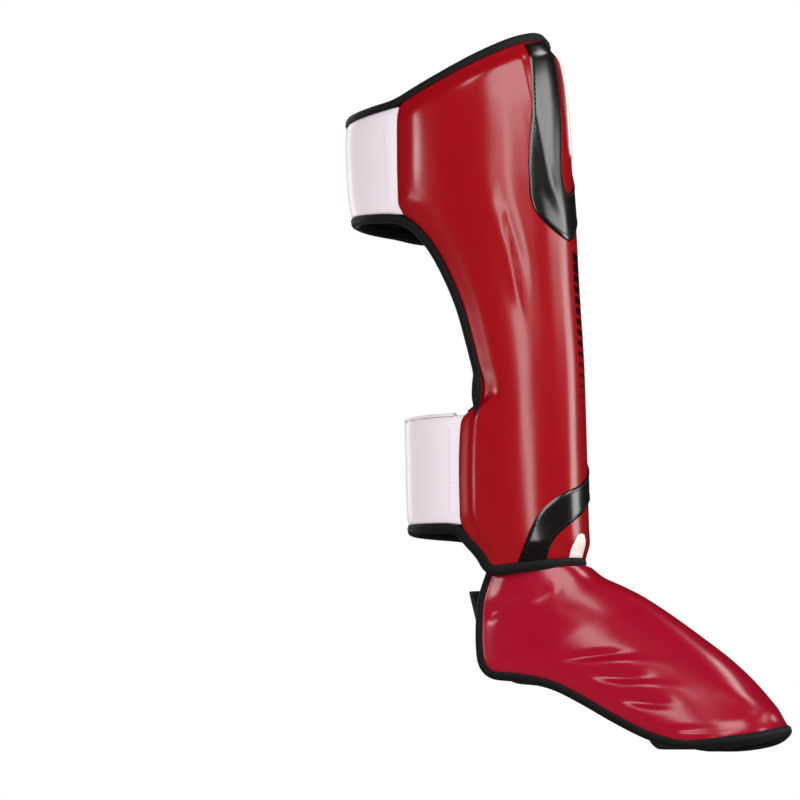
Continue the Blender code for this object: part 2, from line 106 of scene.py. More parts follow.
def even_curve(xs: np.ndarray, ys: np.ndarray, at: np.ndarray | float) -> np.ndarray:
    """A smooth curve through points that never overshoots them.

    Args:
        xs: rising places of the points.
        ys: their values.
        at: places to read.

    Returns:
        The curve's value at each place.
    """
    xs, ys, at = np.asarray(xs, float), np.asarray(ys, float), np.asarray(at, float)
    step = np.diff(xs)
    slope = np.diff(ys) / step
    tangent = np.concatenate([[slope[0]], np.zeros(len(xs) - 2), [slope[-1]]])
    same = slope[:-1] * slope[1:] > 0
    w1, w2 = 2 * step[1:] + step[:-1], step[1:] + 2 * step[:-1]
    safe = np.where(same, slope[:-1] * slope[1:], 1.0)
    mean = (w1 + w2) * safe / np.where(same, w1 * slope[1:] + w2 * slope[:-1], 1.0)
    tangent[1:-1] = np.where(same, mean, 0.0)
    k = np.clip(np.searchsorted(xs, at, side="right") - 1, 0, len(xs) - 2)
    t = np.clip((at - xs[k]) / step[k], 0.0, 1.0)
    a, b = ys[k], ys[k + 1]
    return (
        a * (2 * t**3 - 3 * t**2 + 1)
        + b * (3 * t**2 - 2 * t**3)
        + step[k] * (tangent[k] * (t**3 - 2 * t**2 + t) + tangent[k + 1] * (t**3 - t**2))
    )


def spline(points: np.ndarray, count: int) -> np.ndarray:
    """Points on a smooth curve through the given ones, ends included.

    Args:
        points: the points that it goes through.
        count: how many points to return.

    Returns:
        An array of count points.
    """
    given = np.asarray(points, float)
    given = np.vstack([2 * given[0] - given[1], given, 2 * given[-1] - given[-2]])
    place = np.linspace(0, len(points) - 1 - 1e-9, count)
    k = place.astype(int)
    t = (place - k)[:, None]
    a, b, c, d = given[k], given[k + 1], given[k + 2], given[k + 3]
    return 0.5 * (2 * b + (c - a) * t + (2 * a - 5 * b + 4 * c - d) * t**2 + (3 * b - a - 3 * c + d) * t**3)


def soften(path: np.ndarray, times: int) -> np.ndarray:
    """Rounds the corners of a path and keeps its ends.

    Args:
        path: the path's points.
        times: how often each point moves halfway to its neighbours.

    Returns:
        The rounded path.
    """
    path = np.array(path, float)
    for _ in range(times):
        path[1:-1] = 0.25 * path[:-2] + 0.5 * path[1:-1] + 0.25 * path[2:]
    return path


def unit(vectors: np.ndarray) -> np.ndarray:
    """The same vectors with length 1."""
    return vectors / np.maximum(np.linalg.norm(vectors, axis=-1, keepdims=True), 1e-12)


def distances_along(path: np.ndarray) -> np.ndarray:
    """Distance of each point of a path from its start."""
    return np.concatenate([[0.0], np.cumsum(np.linalg.norm(np.diff(path, axis=0), axis=1))])


def read_at(at: np.ndarray, along: np.ndarray, path: np.ndarray) -> np.ndarray:
    """Points of a path at the given distances along it."""
    return np.stack([np.interp(at, along, path[:, k]) for k in range(path.shape[1])], axis=1)


def grid_normals(face: np.ndarray) -> np.ndarray:
    """Outward normals of a grid whose rows rise and whose columns go round to the closure's side."""
    return unit(np.cross(np.gradient(face, axis=1), np.gradient(face, axis=0)))


def outward_normals(outer: np.ndarray, inner: np.ndarray) -> np.ndarray:
    """Normals of an outer grid that point away from the inner one."""
    normal = grid_normals(outer)
    return normal if np.sum(normal * (outer - inner), axis=-1).mean() > 0 else -normal


def cloth_map(along: np.ndarray, across: np.ndarray) -> np.ndarray:
    """A cloth map in metres from a row of places along and a column of places across, or both grids."""
    return np.stack(np.broadcast_arrays(along, across), axis=-1)


def mesh_object(
    name: str,
    points: np.ndarray,
    faces: list[tuple[int, ...]],
    uvs: np.ndarray | None = None,
) -> bpy.types.Object:
    """A smooth shaded mesh object whose place is in its points.

    Args:
        name: the object's name.
        points: one row for each point.
        faces: point numbers of each face.
        uvs: a place on the cloth for each point, in metres.

    Returns:
        The object.
    """
    mesh = bpy.data.meshes.new(name)
    mesh.from_pydata([tuple(p) for p in points], [], faces)
    if uvs is not None:
        layer = mesh.uv_layers.new(name="cloth")
        loops = np.zeros(len(mesh.loops), np.int32)
        mesh.loops.foreach_get("vertex_index", loops)
        layer.data.foreach_set("uv", np.asarray(uvs, np.float32)[loops].ravel())
    work = bmesh.new()
    work.from_mesh(mesh)
    bmesh.ops.recalc_face_normals(work, faces=work.faces)
    if work.calc_volume(signed=True) < 0:
        bmesh.ops.reverse_faces(work, faces=work.faces)
    work.to_mesh(mesh)
    work.free()
    mesh.shade_smooth()
    made = bpy.data.objects.new(name, mesh)
    bpy.context.scene.collection.objects.link(made)
    return made


def only(piece: bpy.types.Object) -> None:
    """Deselects everything and then picks one piece.

    Args:
        piece: the piece to pick.
    """
    bpy.ops.object.select_all(action="DESELECT")
    piece.select_set(True)
    bpy.context.view_layer.objects.active = piece


def subdivide_smooth(piece: bpy.types.Object) -> None:
    """Adds one smooth subdivision and applies it.

    Args:
        piece: the piece, which gets four times as many faces.
    """
    only(piece)
    modifier = piece.modifiers.new("Smooth", "SUBSURF")
    modifier.levels = modifier.render_levels = 1
    modifier.uv_smooth = "PRESERVE_BOUNDARIES"
    bpy.ops.object.modifier_apply(modifier=modifier.name)


def slab_between(
    name: str, outer: np.ndarray, inner: np.ndarray, cloth: np.ndarray | None = None
) -> bpy.types.Object:
    """A closed solid between two grids of points.

    Args:
        name: the object's name.
        outer: rows and columns of points on the outer face.
        inner: the same on the inner face.
        cloth: rows and columns of places on the cloth, in metres.

    Returns:
        The object. Its outer face's points come first, row by row.
    """
    rows, columns = outer.shape[:2]
    number = np.arange(rows * columns).reshape(rows, columns)
    a, b, d, e = number[:-1, :-1], number[:-1, 1:], number[1:, :-1], number[1:, 1:]
    front = np.stack([a, b, e, d], axis=-1).reshape(-1, 4)
    back = np.stack([a, d, e, b], axis=-1).reshape(-1, 4) + rows * columns
    ring = np.concatenate([number[0], number[1:, -1], number[-1, -2::-1], number[-2:0:-1, 0]])
    after = np.roll(ring, -1)
    edge = np.stack([ring, ring + rows * columns, after + rows * columns, after], axis=-1)
    faces = [tuple(int(i) for i in f) for f in np.concatenate([front, back, edge])]
    points = np.concatenate([outer.reshape(-1, 3), inner.reshape(-1, 3)])
    uvs = None
    if cloth is not None:
        uvs = np.concatenate([cloth.reshape(-1, 2)] * 2)
    return mesh_object(name, points, faces, uvs)


def swept(
    name: str, path: np.ndarray, out: np.ndarray, across: np.ndarray, half: np.ndarray, shape: np.ndarray
) -> bpy.types.Object:
    """A closed profile swept along a path.

    Args:
        name: the object's name.
        path: points that it follows.
        out: direction away from the edge that it covers, at each point.
        across: direction through the padding, at each point.
        half: half of the thickness that it covers, at each point.
        shape: profile points as a distance out in metres, a share of half, and metres beyond half.

    Returns:
        The object, with its cloth map in metres along and round.
    """
    along = distances_along(path)
    count = len(shape)
    rings = (
        path[:, None, :]
        + out[:, None, :] * shape[None, :, 0, None]
        + across[:, None, :] * (shape[None, :, 1] * half[:, None] + shape[None, :, 2])[..., None]
    )
    girth = distances_along(np.vstack([rings[0], rings[0][:1]]))[:-1]
    uvs = cloth_map(along[:, None], girth[None, :]).reshape(-1, 2)
    end = (len(path) - 1) * count
    faces = [tuple(range(count)), tuple(range(end + count - 1, end - 1, -1))]
    for k in range(len(path) - 1):
        for j in range(count):
            a, b = k * count + j, k * count + (j + 1) % count
            faces.append((a, b, b + count, a + count))
    return mesh_object(name, rings.reshape(-1, 3), faces, uvs)


@dataclass(frozen=True)
class Padding:
    """How the cloth simulation blows up a padded piece."""

    pressure: float = 4.0
    frames: int = 20
    mass: float = 0.3
    tension: float = 20.0
    shear: float = 10.0
    bending: float = 2.0

    def simulate(self, piece: bpy.types.Object, held: np.ndarray) -> np.ndarray:
        """Where the cloth simulation moves the points of a closed piece.

        Args:
            piece: a closed mesh, slightly smaller than the real padding.
            held: how fast each point is held, 0 to 1.

        Returns:
            One row for each point.
        """
        group = piece.vertex_groups.new(name="held")
        for k, weight in enumerate(held):
            group.add([k], float(weight), "REPLACE")
        modifier = piece.modifiers.new("Cloth", "CLOTH")
        cloth = modifier.settings
        cloth.quality = 5
        cloth.mass = self.mass
        cloth.tension_stiffness = cloth.compression_stiffness = self.tension
        cloth.shear_stiffness = self.shear
        cloth.bending_stiffness = self.bending
        cloth.vertex_group_mass = "held"
        cloth.pin_stiffness = 1.0
        cloth.use_pressure = True
        cloth.uniform_pressure_force = self.pressure
        cloth.effector_weights.gravity = 0.0
        modifier.collision_settings.use_collision = False
        modifier.point_cache.frame_start, modifier.point_cache.frame_end = 1, self.frames
        for frame in range(1, self.frames + 1):
            bpy.context.scene.frame_set(frame)
        swollen = piece.evaluated_get(bpy.context.evaluated_depsgraph_get()).to_mesh()
        moved = np.zeros(len(swollen.vertices) * 3)
        swollen.vertices.foreach_get("co", moved)
        piece.modifiers.remove(modifier)
        piece.vertex_groups.clear()
        bpy.context.scene.frame_set(1)
        return moved.reshape(-1, 3)

    def swell(
        self, piece: bpy.types.Object, outer: np.ndarray, held: np.ndarray, cap: float
    ) -> np.ndarray:
        """Swells a closed piece and keeps the result.

        Args:
            piece: a slab whose outer face's points come first.
            outer: the grid of its outer face.
            held: how fast each point is held, 0 to 1.
            cap: the furthest that a point may move.

        Returns:
            The grid of its swollen outer face.
        """
        mesh = piece.data
        rest = np.zeros(len(mesh.vertices) * 3)
        mesh.vertices.foreach_get("co", rest)
        rest = rest.reshape(-1, 3)
        shift = self.simulate(piece, held) - rest
        far = np.linalg.norm(shift, axis=1, keepdims=True)
        shift *= cap * np.tanh(far / cap) / np.maximum(far, 1e-9)
        mesh.vertices.foreach_set("co", (rest + shift).ravel())
        mesh.update()
        LOG.info("%s swelled by up to %.1f mm", piece.name, np.linalg.norm(shift, axis=1).max() / MM)
        return outer + shift[: outer[..., 0].size].reshape(outer.shape)


# Materials


def add_node(
    tree: bpy.types.NodeTree, kind: str, settings: dict | None = None, inputs: dict | None = None
) -> bpy.types.Node:
    """Adds a node with its settings and links.

    Args:
        tree: the material's node tree.
        kind: the node's type.
        settings: attributes to set.
        inputs: values or output sockets, by input name or number.

    Returns:
        The node.
    """
    made = tree.nodes.new(kind)
    for key, value in (settings or {}).items():
        setattr(made, key, value)
    for key, value in (inputs or {}).items():
        if isinstance(value, bpy.types.NodeSocket):
            tree.links.new(value, made.inputs[key])
        else:
            made.inputs[key].default_value = value
    return made


def calc(
    tree: bpy.types.NodeTree, operation: str, *values: bpy.types.NodeSocket | float
) -> bpy.types.NodeSocket:
    """The result of a math node."""
    return add_node(tree, "ShaderNodeMath", {"operation": operation}, dict(enumerate(values))).outputs[0]


def blend(
    tree: bpy.types.NodeTree,
    share: bpy.types.NodeSocket,
    first: bpy.types.NodeSocket | tuple[float, ...],
    second: bpy.types.NodeSocket | tuple[float, ...],
) -> bpy.types.NodeSocket:
    """A mix of two colours."""
    return add_node(
        tree, "ShaderNodeMix", {"data_type": "RGBA"}, {0: share, 6: first, 7: second}
    ).outputs[2]


def remap(
    tree: bpy.types.NodeTree,
    value: bpy.types.NodeSocket,
    span: tuple[float, float] = (0.0, 1.0),
    result: tuple[float, float] = (0.0, 1.0),
) -> bpy.types.NodeSocket:
    """A value's place in a span as its place in another span."""
    ends = dict(zip(("From Min", "From Max", "To Min", "To Max"), (*span, *result)))
    return add_node(tree, "ShaderNodeMapRange", inputs={"Value": value, **ends}).outputs[0]


def noise(
    tree: bpy.types.NodeTree, place: bpy.types.NodeSocket, scale: float, detail: float = 2.0
) -> bpy.types.NodeSocket:
    """Soft noise, 0 to 1."""
    inputs = {"Vector": place, "Scale": scale, "Detail": detail}
    return add_node(tree, "ShaderNodeTexNoise", inputs=inputs).outputs["Fac"]


@dataclass(frozen=True)
class Finish:
    """A surface whose material is made once, when a piece first asks for it."""

    name: str

    def material(self) -> bpy.types.Material:
        """The finished material.

        Returns:
            The material, shared by all pieces of this finish.
        """
        made = bpy.data.materials.get(self.name)
        if made is None:
            made = bpy.data.materials.new(self.name)
            made.use_nodes = True
            self.paint(made.node_tree, made.node_tree.nodes["Principled BSDF"])
        return made

    def paint(self, tree: bpy.types.NodeTree, shader: bpy.types.Node) -> None:
        """Adds the finish's own nodes."""
        raise NotImplementedError


@dataclass(frozen=True)
class Ladder:
    """Plain bars printed down the front, each thinner and fainter than the one above."""

    ink: str
    top: float = 25.2 * MM
    faint_from: float = -40 * MM
    bottom: float = -98 * MM
    half_pitch: float = 3.6 * MM
    half_bar: float = 3.4 * MM
    middle: float = 1.5 * MM
    half_width: float = 12.5 * MM
    front: float = 55 * MM
    faintest: float = 0.15

    def share(self, tree: bpy.types.NodeTree, place: bpy.types.NodeSocket) -> bpy.types.NodeSocket:
        """How much ink there is.

        Args:
            tree: the material's node tree.
            place: object coordinates.

        Returns:
            0 on bare leather to 1 on a full bar.
        """
        apart = add_node(tree, "ShaderNodeSeparateXYZ", inputs={0: place})
        x, y, z = (apart.outputs[k] for k in range(3))
        bar = calc(tree, "MULTIPLY", remap(tree, z, (self.bottom, self.top + 0.8 * MM)), self.half_bar)
        side = calc(tree, "ABSOLUTE", calc(tree, "ADD", y, -self.middle))
        ink = remap(tree, z, (self.bottom, self.faint_from), (self.faintest, 1.0))
        for inside in (
            calc(tree, "LESS_THAN", calc(tree, "PINGPONG", z, self.half_pitch), bar),
            calc(tree, "LESS_THAN", side, self.half_width),
            calc(tree, "GREATER_THAN", x, self.front),
            calc(tree, "LESS_THAN", z, self.top),
        ):
            ink = calc(tree, "MULTIPLY", ink, inside)
        return ink


class Grain(Enum):
    """What a leather's surface was pressed with."""

    FINE = "fine"
    SMOOTH = "smooth"


@dataclass(frozen=True)
class Leather(Finish):
    """Polyurethane leather on a knitted back: a thin glossy skin with a pressed grain."""

    colour: str
    shade: str
    roughness: float
    coat: float
    coat_roughness: float = 0.18
    grain: Grain = Grain.FINE
    grain_size: float = 0.9 * MM
    bars: Ladder | None = None

    def paint(self, tree: bpy.types.NodeTree, shader: bpy.types.Node) -> None:
        """Adds colour, print, smudges and grain.

        Args:
            tree: the material's node tree.
            shader: its Principled shader.
        """
        place = add_node(tree, "ShaderNodeTexCoord").outputs["Object"]
        colour = blend(tree, noise(tree, place, 22.0, 4.0), linear(self.colour), linear(self.shade))
        if self.bars:
            colour = blend(tree, self.bars.share(tree, place), colour, linear(self.bars.ink))
        tree.links.new(colour, shader.inputs["Base Color"])
        smudge = (self.roughness - 0.02, self.roughness + 0.03)
        rough = remap(tree, noise(tree, place, 60.0, 5.0), result=smudge)
        tree.links.new(rough, shader.inputs["Roughness"])
        cells = add_node(
            tree,
            "ShaderNodeTexVoronoi",
            {"feature": "DISTANCE_TO_EDGE"},
            {"Vector": place, "Scale": 1.0 / self.grain_size, "Randomness": 1.0},
        )
        # Pressed grain about 0.9 mm across and 0.02 mm deep, over a faint unevenness of the foam
        strength = {Grain.FINE: 0.14, Grain.SMOOTH: 0.06}[self.grain]
        height = remap(tree, cells.outputs["Distance"], (0.0, 0.25))
        pressed = {"Strength": strength, "Distance": 0.05 * MM, "Height": height}
        first = add_node(tree, "ShaderNodeBump", inputs=pressed)
        uneven = {"Strength": 0.12, "Distance": 0.30 * MM, "Height": noise(tree, place, 90.0, 3.0)}
        second = add_node(tree, "ShaderNodeBump", inputs={**uneven, "Normal": first.outputs[0]})
        tree.links.new(second.outputs[0], shader.inputs["Normal"])
        shader.inputs["Coat Weight"].default_value = self.coat
        shader.inputs["Coat Roughness"].default_value = self.coat_roughness
        shader.inputs["IOR"].default_value = 1.5


class Weave(Enum):
    """How a cloth or tape is woven."""

    RIBBED = "ribbed"
    TWILL = "twill"
    KNIT = "knit"


@dataclass(frozen=True)
class Cloth(Finish):
    """Woven polyester or nylon. Its pattern follows the piece's own cloth map in metres."""

    colour: str
    light: str
    roughness: float
    weave: Weave
    pitch: float
    depth: float
    sheen: float = 0.02

    def wave(
        self,
        tree: bpy.types.NodeTree,
        place: bpy.types.NodeSocket,
        direction: str,
        scale: float,
        **more: float,
    ) -> bpy.types.NodeSocket:
        """One set of threads, as soft bands.

        Args:
            tree: the material's node tree.
            place: the turned cloth map.
            direction: X or Y.
            scale: how closely the bands follow each other.
            more: other inputs of the wave node.

        Returns:
            The bands' height, 0 to 1.
        """
        kind = {"wave_type": "BANDS", "bands_direction": direction, "wave_profile": "SIN"}
        inputs = {"Vector": place, "Scale": scale, **more}
        return add_node(tree, "ShaderNodeTexWave", kind, inputs).outputs["Fac"]

    def paint(self, tree: bpy.types.NodeTree, shader: bpy.types.Node) -> None:
        """Adds threads that cross, fuzz and sheen.

        Args:
            tree: the material's node tree.
            shader: its Principled shader.
        """
        place = add_node(tree, "ShaderNodeUVMap", {"uv_map": "cloth"}).outputs[0]
        turn = math.radians({Weave.RIBBED: 0.0, Weave.TWILL: 45.0, Weave.KNIT: 90.0}[self.weave])
        turned = add_node(
            tree, "ShaderNodeMapping", inputs={"Vector": place, "Rotation": (0.0, 0.0, turn)}
        ).outputs[0]
        # A wave node repeats every 0.314 / scale metres
        ribs = self.wave(tree, turned, "X", 0.314 / self.pitch, Distortion=0.6, Detail=1.0)
        threads = self.wave(tree, turned, "Y", 0.314 / (self.pitch * 0.7), Distortion=0.4)
        both = calc(tree, "MULTIPLY", ribs, threads)
        fuzz = noise(tree, place, 0.4 / self.pitch, 3.0)
        spread = (self.roughness - 0.08, min(1.0, self.roughness + 0.08))
        height = calc(tree, "ADD", ribs, both)
        relief = add_node(
            tree, "ShaderNodeBump", inputs={"Strength": 0.8, "Distance": self.depth, "Height": height}
        )
        tone = blend(tree, both, linear(self.colour), linear(self.light))
        tree.links.new(tone, shader.inputs["Base Color"])
        tree.links.new(remap(tree, fuzz, result=spread), shader.inputs["Roughness"])
        tree.links.new(relief.outputs[0], shader.inputs["Normal"])
        shader.inputs["Sheen Weight"].default_value = self.sheen
        shader.inputs["Sheen Roughness"].default_value = 0.5
        shader.inputs["Specular IOR Level"].default_value = 0.25


@dataclass(frozen=True)
class Paint(Finish):
    """Matt paint with a slight unevenness, which glows a little so that the floor stays pale."""

    colour: str
    shade: str
    roughness: float
    glow: float

    def paint(self, tree: bpy.types.NodeTree, shader: bpy.types.Node) -> None:
        """Adds a cloudy colour and the glow.

        Args:
            tree: the material's node tree.
            shader: its Principled shader.
        """
        place = add_node(tree, "ShaderNodeTexCoord").outputs["Object"]
        tone = blend(tree, noise(tree, place, 3.0), linear(self.colour), linear(self.shade))
        tree.links.new(tone, shader.inputs["Base Color"])
        shader.inputs["Roughness"].default_value = self.roughness
        shader.inputs["Emission Color"].default_value = linear("ffffff")
        shader.inputs["Emission Strength"].default_value = self.glow


# Gloss red skin: deep crimson with soft pink reflections
RED_LEATHER = Leather("red_pu_leather", "91000d", "87000a", 0.20, 0.30, bars=Ladder("0b0a0a"))
# The flap is cut from a slightly pinker roll
FOOT_LEATHER = Leather("pink_red_pu_leather", "9a0021", "8e001d", 0.20, 0.30)
# Patent black inlays: a near mirror with warm grey reflections
BLACK_LEATHER = Leather("black_patent_pu_leather", "14100d", "0a0807", 0.22, 0.7, grain=Grain.SMOOTH)
# White skin with a cold pink cast
WHITE_LEATHER = Leather("white_pu_leather", "ddd4da", "d4cbd1", 0.42, 0.15)
# Cream inlays
CREAM_LEATHER = Leather("cream_pu_leather", "efe4df", "e3d7d1", 0.40, 0.2)
# Polyester lining, 1 mm twill: soft black without gloss
LINING_CLOTH = Cloth("black_polyester_lining", "0b0a0b", "1c1b1c", 0.88, Weave.TWILL, 1.0 * MM, 0.12 * MM)
# Grosgrain tape with 0.9 mm ribs across it
BINDING_TAPE = Cloth("black_grosgrain_tape", "0d0c0c", "201e1e", 0.62, Weave.RIBBED, 0.9 * MM, 0.12 * MM)
# Knitted elastic with 1.6 mm ribs along it
ELASTIC_WEB = Cloth("black_elastic_webbing", "0f0e0e", "232121", 0.75, Weave.KNIT, 1.6 * MM, 0.25 * MM)
# Bonded polyester thread
THREAD = Cloth("black_polyester_thread", "141313", "2c2a2a", 0.55, Weave.RIBBED, 0.5 * MM, 0.05 * MM)
# The same thread in white, for the straps and the cream inlays
WHITE_THREAD = Cloth("white_polyester_thread", "cfc6ca", "eee6ea", 0.55, Weave.RIBBED, 0.5 * MM, 0.05 * MM)
# Matt white floor, which reads as paper
FLOOR_PAINT = Paint("pale_matt_floor", "f2f1ef", "ecebe9", 0.8, 0.35)


def dress(piece: bpy.types.Object, finish: Finish, slot: str, *nodes: str) -> bpy.types.Object:
    """Gives a piece its finish, its body and the nodes that it stands for.

    Args:
        piece: the finished piece.
        finish: its surface.
        slot: the record's material slot; not used.
        nodes: CAD nodes that it replaces.

    Returns:
        The piece.
    """
    piece.data.materials.clear()
    piece.data.materials.append(finish.material())
    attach(piece, "root")
    if nodes:
        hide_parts(*nodes)
    LOG.info("%s: %d faces", piece.name, len(piece.data.polygons))
    return piece


# The leg's form


@dataclass
class LegForm:
    """Plan sections of the leg side by side with the shell, at any height above the ankle seam."""

    shin_length: float = 0.360
    depth: float = 0.150
    width: float = 0.132
    # height, front of the shell, back of the leg, half width
    sections: tuple[tuple[float, float, float, float], ...] = (
        (-0.03, 0.574, -0.237, 0.402),
        (0.00, 0.574, -0.243, 0.408),
        (0.09, 0.562, -0.262, 0.424),
        (0.22, 0.555, -0.268, 0.434),
        (0.38, 0.544, -0.310, 0.440),
        (0.54, 0.522, -0.420, 0.462),
        (0.65, 0.508, -0.520, 0.486),
        (0.74, 0.493, -0.540, 0.498),
        (0.86, 0.477, -0.545, 0.500),
        (0.91, 0.465, -0.545, 0.490),
        (0.97, 0.437, -0.545, 0.470),
        (1.02, 0.392, -0.545, 0.448),
    )
    # share of the depth back from the front, share of the half width
    profile: tuple[tuple[float, float], ...] = (
        (0.000, 0.00),
        (0.022, 0.42),
        (0.165, 0.82),
        (0.400, 1.00),
        (0.700, 0.90),
        (0.930, 0.52),
        (1.000, 0.00),
    )
    low: float = -0.012
    high: float = 0.372
    levels: int = 193
    steps: int = 220
    table: np.ndarray = field(init=False, repr=False)
    lengths: np.ndarray = field(init=False, repr=False)

    def __post_init__(self) -> None:
        """Tabulates half sections at even heights, each by even shares of its length."""
        rows = np.array(self.sections)
        whole = np.array(self.profile)
        mirrored = whole * (1, -1)
        walk = np.vstack([mirrored[2:0:-1], whole, mirrored[-2:-4:-1]])
        fine = 40
        dense = spline(walk, (len(walk) - 1) * fine + 1)[2 * fine : (len(whole) + 1) * fine + 1]
        dense[0, 1] = dense[-1, 1] = 0.0
        table, lengths = [], []
        for height in np.linspace(self.low, self.high, self.levels):
            front, back, half = (
                float(even_curve(rows[:, 0], rows[:, k], height / self.shin_length)) for k in (1, 2, 3)
            )
            x = (front - dense[:, 0] * (front - back)) * self.depth
            y = dense[:, 1] * half * self.width
            curve = np.stack([x, y], axis=1)
            along = distances_along(curve)
            wanted = np.linspace(0, along[-1], self.steps)
            table.append(read_at(wanted, along, curve))
            lengths.append(along[-1])
        self.table = np.array(table)
        self.lengths = np.array(lengths)

    def length(self, height: np.ndarray) -> np.ndarray:
        """Half the way round at a height."""
        return np.interp(height, np.linspace(self.low, self.high, self.levels), self.lengths)

    def place(self, height: np.ndarray, distance: np.ndarray, out: np.ndarray | float = 0.0) -> np.ndarray:
        """Points this far round from the front centre, moved outwards.

        Args:
            height: heights above the ankle seam.
            distance: distances round, positive on the closure's side.
            out: how far outwards.

        Returns:
            Points with their height above the ankle seam.
        """
        height, distance = np.broadcast_arrays(np.asarray(height, float), np.asarray(distance, float))
        total = self.length(height)
        side = np.where(distance >= 0, 1.0, -1.0)
        far = np.abs(distance)
        over = far > total
        far = np.where(over, 2 * total - far, far)
        side = np.where(over, -side, side)
        level = np.clip((height - self.low) / (self.high - self.low), 0, 1) * (self.levels - 1)
        step = np.clip(far / total, 0, 1) * (self.steps - 1)
        r = np.minimum(level.astype(int), self.levels - 2)
        c = np.minimum(step.astype(int), self.steps - 2)
        v, u = (level - r)[..., None], (step - c)[..., None]
        t = self.table
        flat = (t[r, c] * (1 - u) + t[r, c + 1] * u) * (1 - v) + (
            t[r + 1, c] * (1 - u) + t[r + 1, c + 1] * u
        ) * v
        before, after = np.maximum(c - 1, 0), np.minimum(c + 2, self.steps - 1)
        run = unit(t[r, after] - t[r, before])
        run[..., 1] = np.where((c <= 0) & (u[..., 0] < 0.5), 1.0, run[..., 1])
        x = flat[..., 0] + run[..., 1] * out
        y = side * (flat[..., 1] - run[..., 0] * out)
        return np.stack([x, y, height], axis=-1)

    def distance_at(self, height: float, forward: float) -> float:
        """How far round a section reaches this far forward of the axis, on its way back.

        Args:
            height: height above the ankle seam.
            forward: distance forward of the axis.

        Returns:
            Distance round from the front centre.
        """
        level = int(round((height - self.low) / (self.high - self.low) * (self.levels - 1)))
        xs = self.table[level, :, 0]
        return float(np.interp(-forward, -xs, np.linspace(0, self.lengths[level], self.steps)))


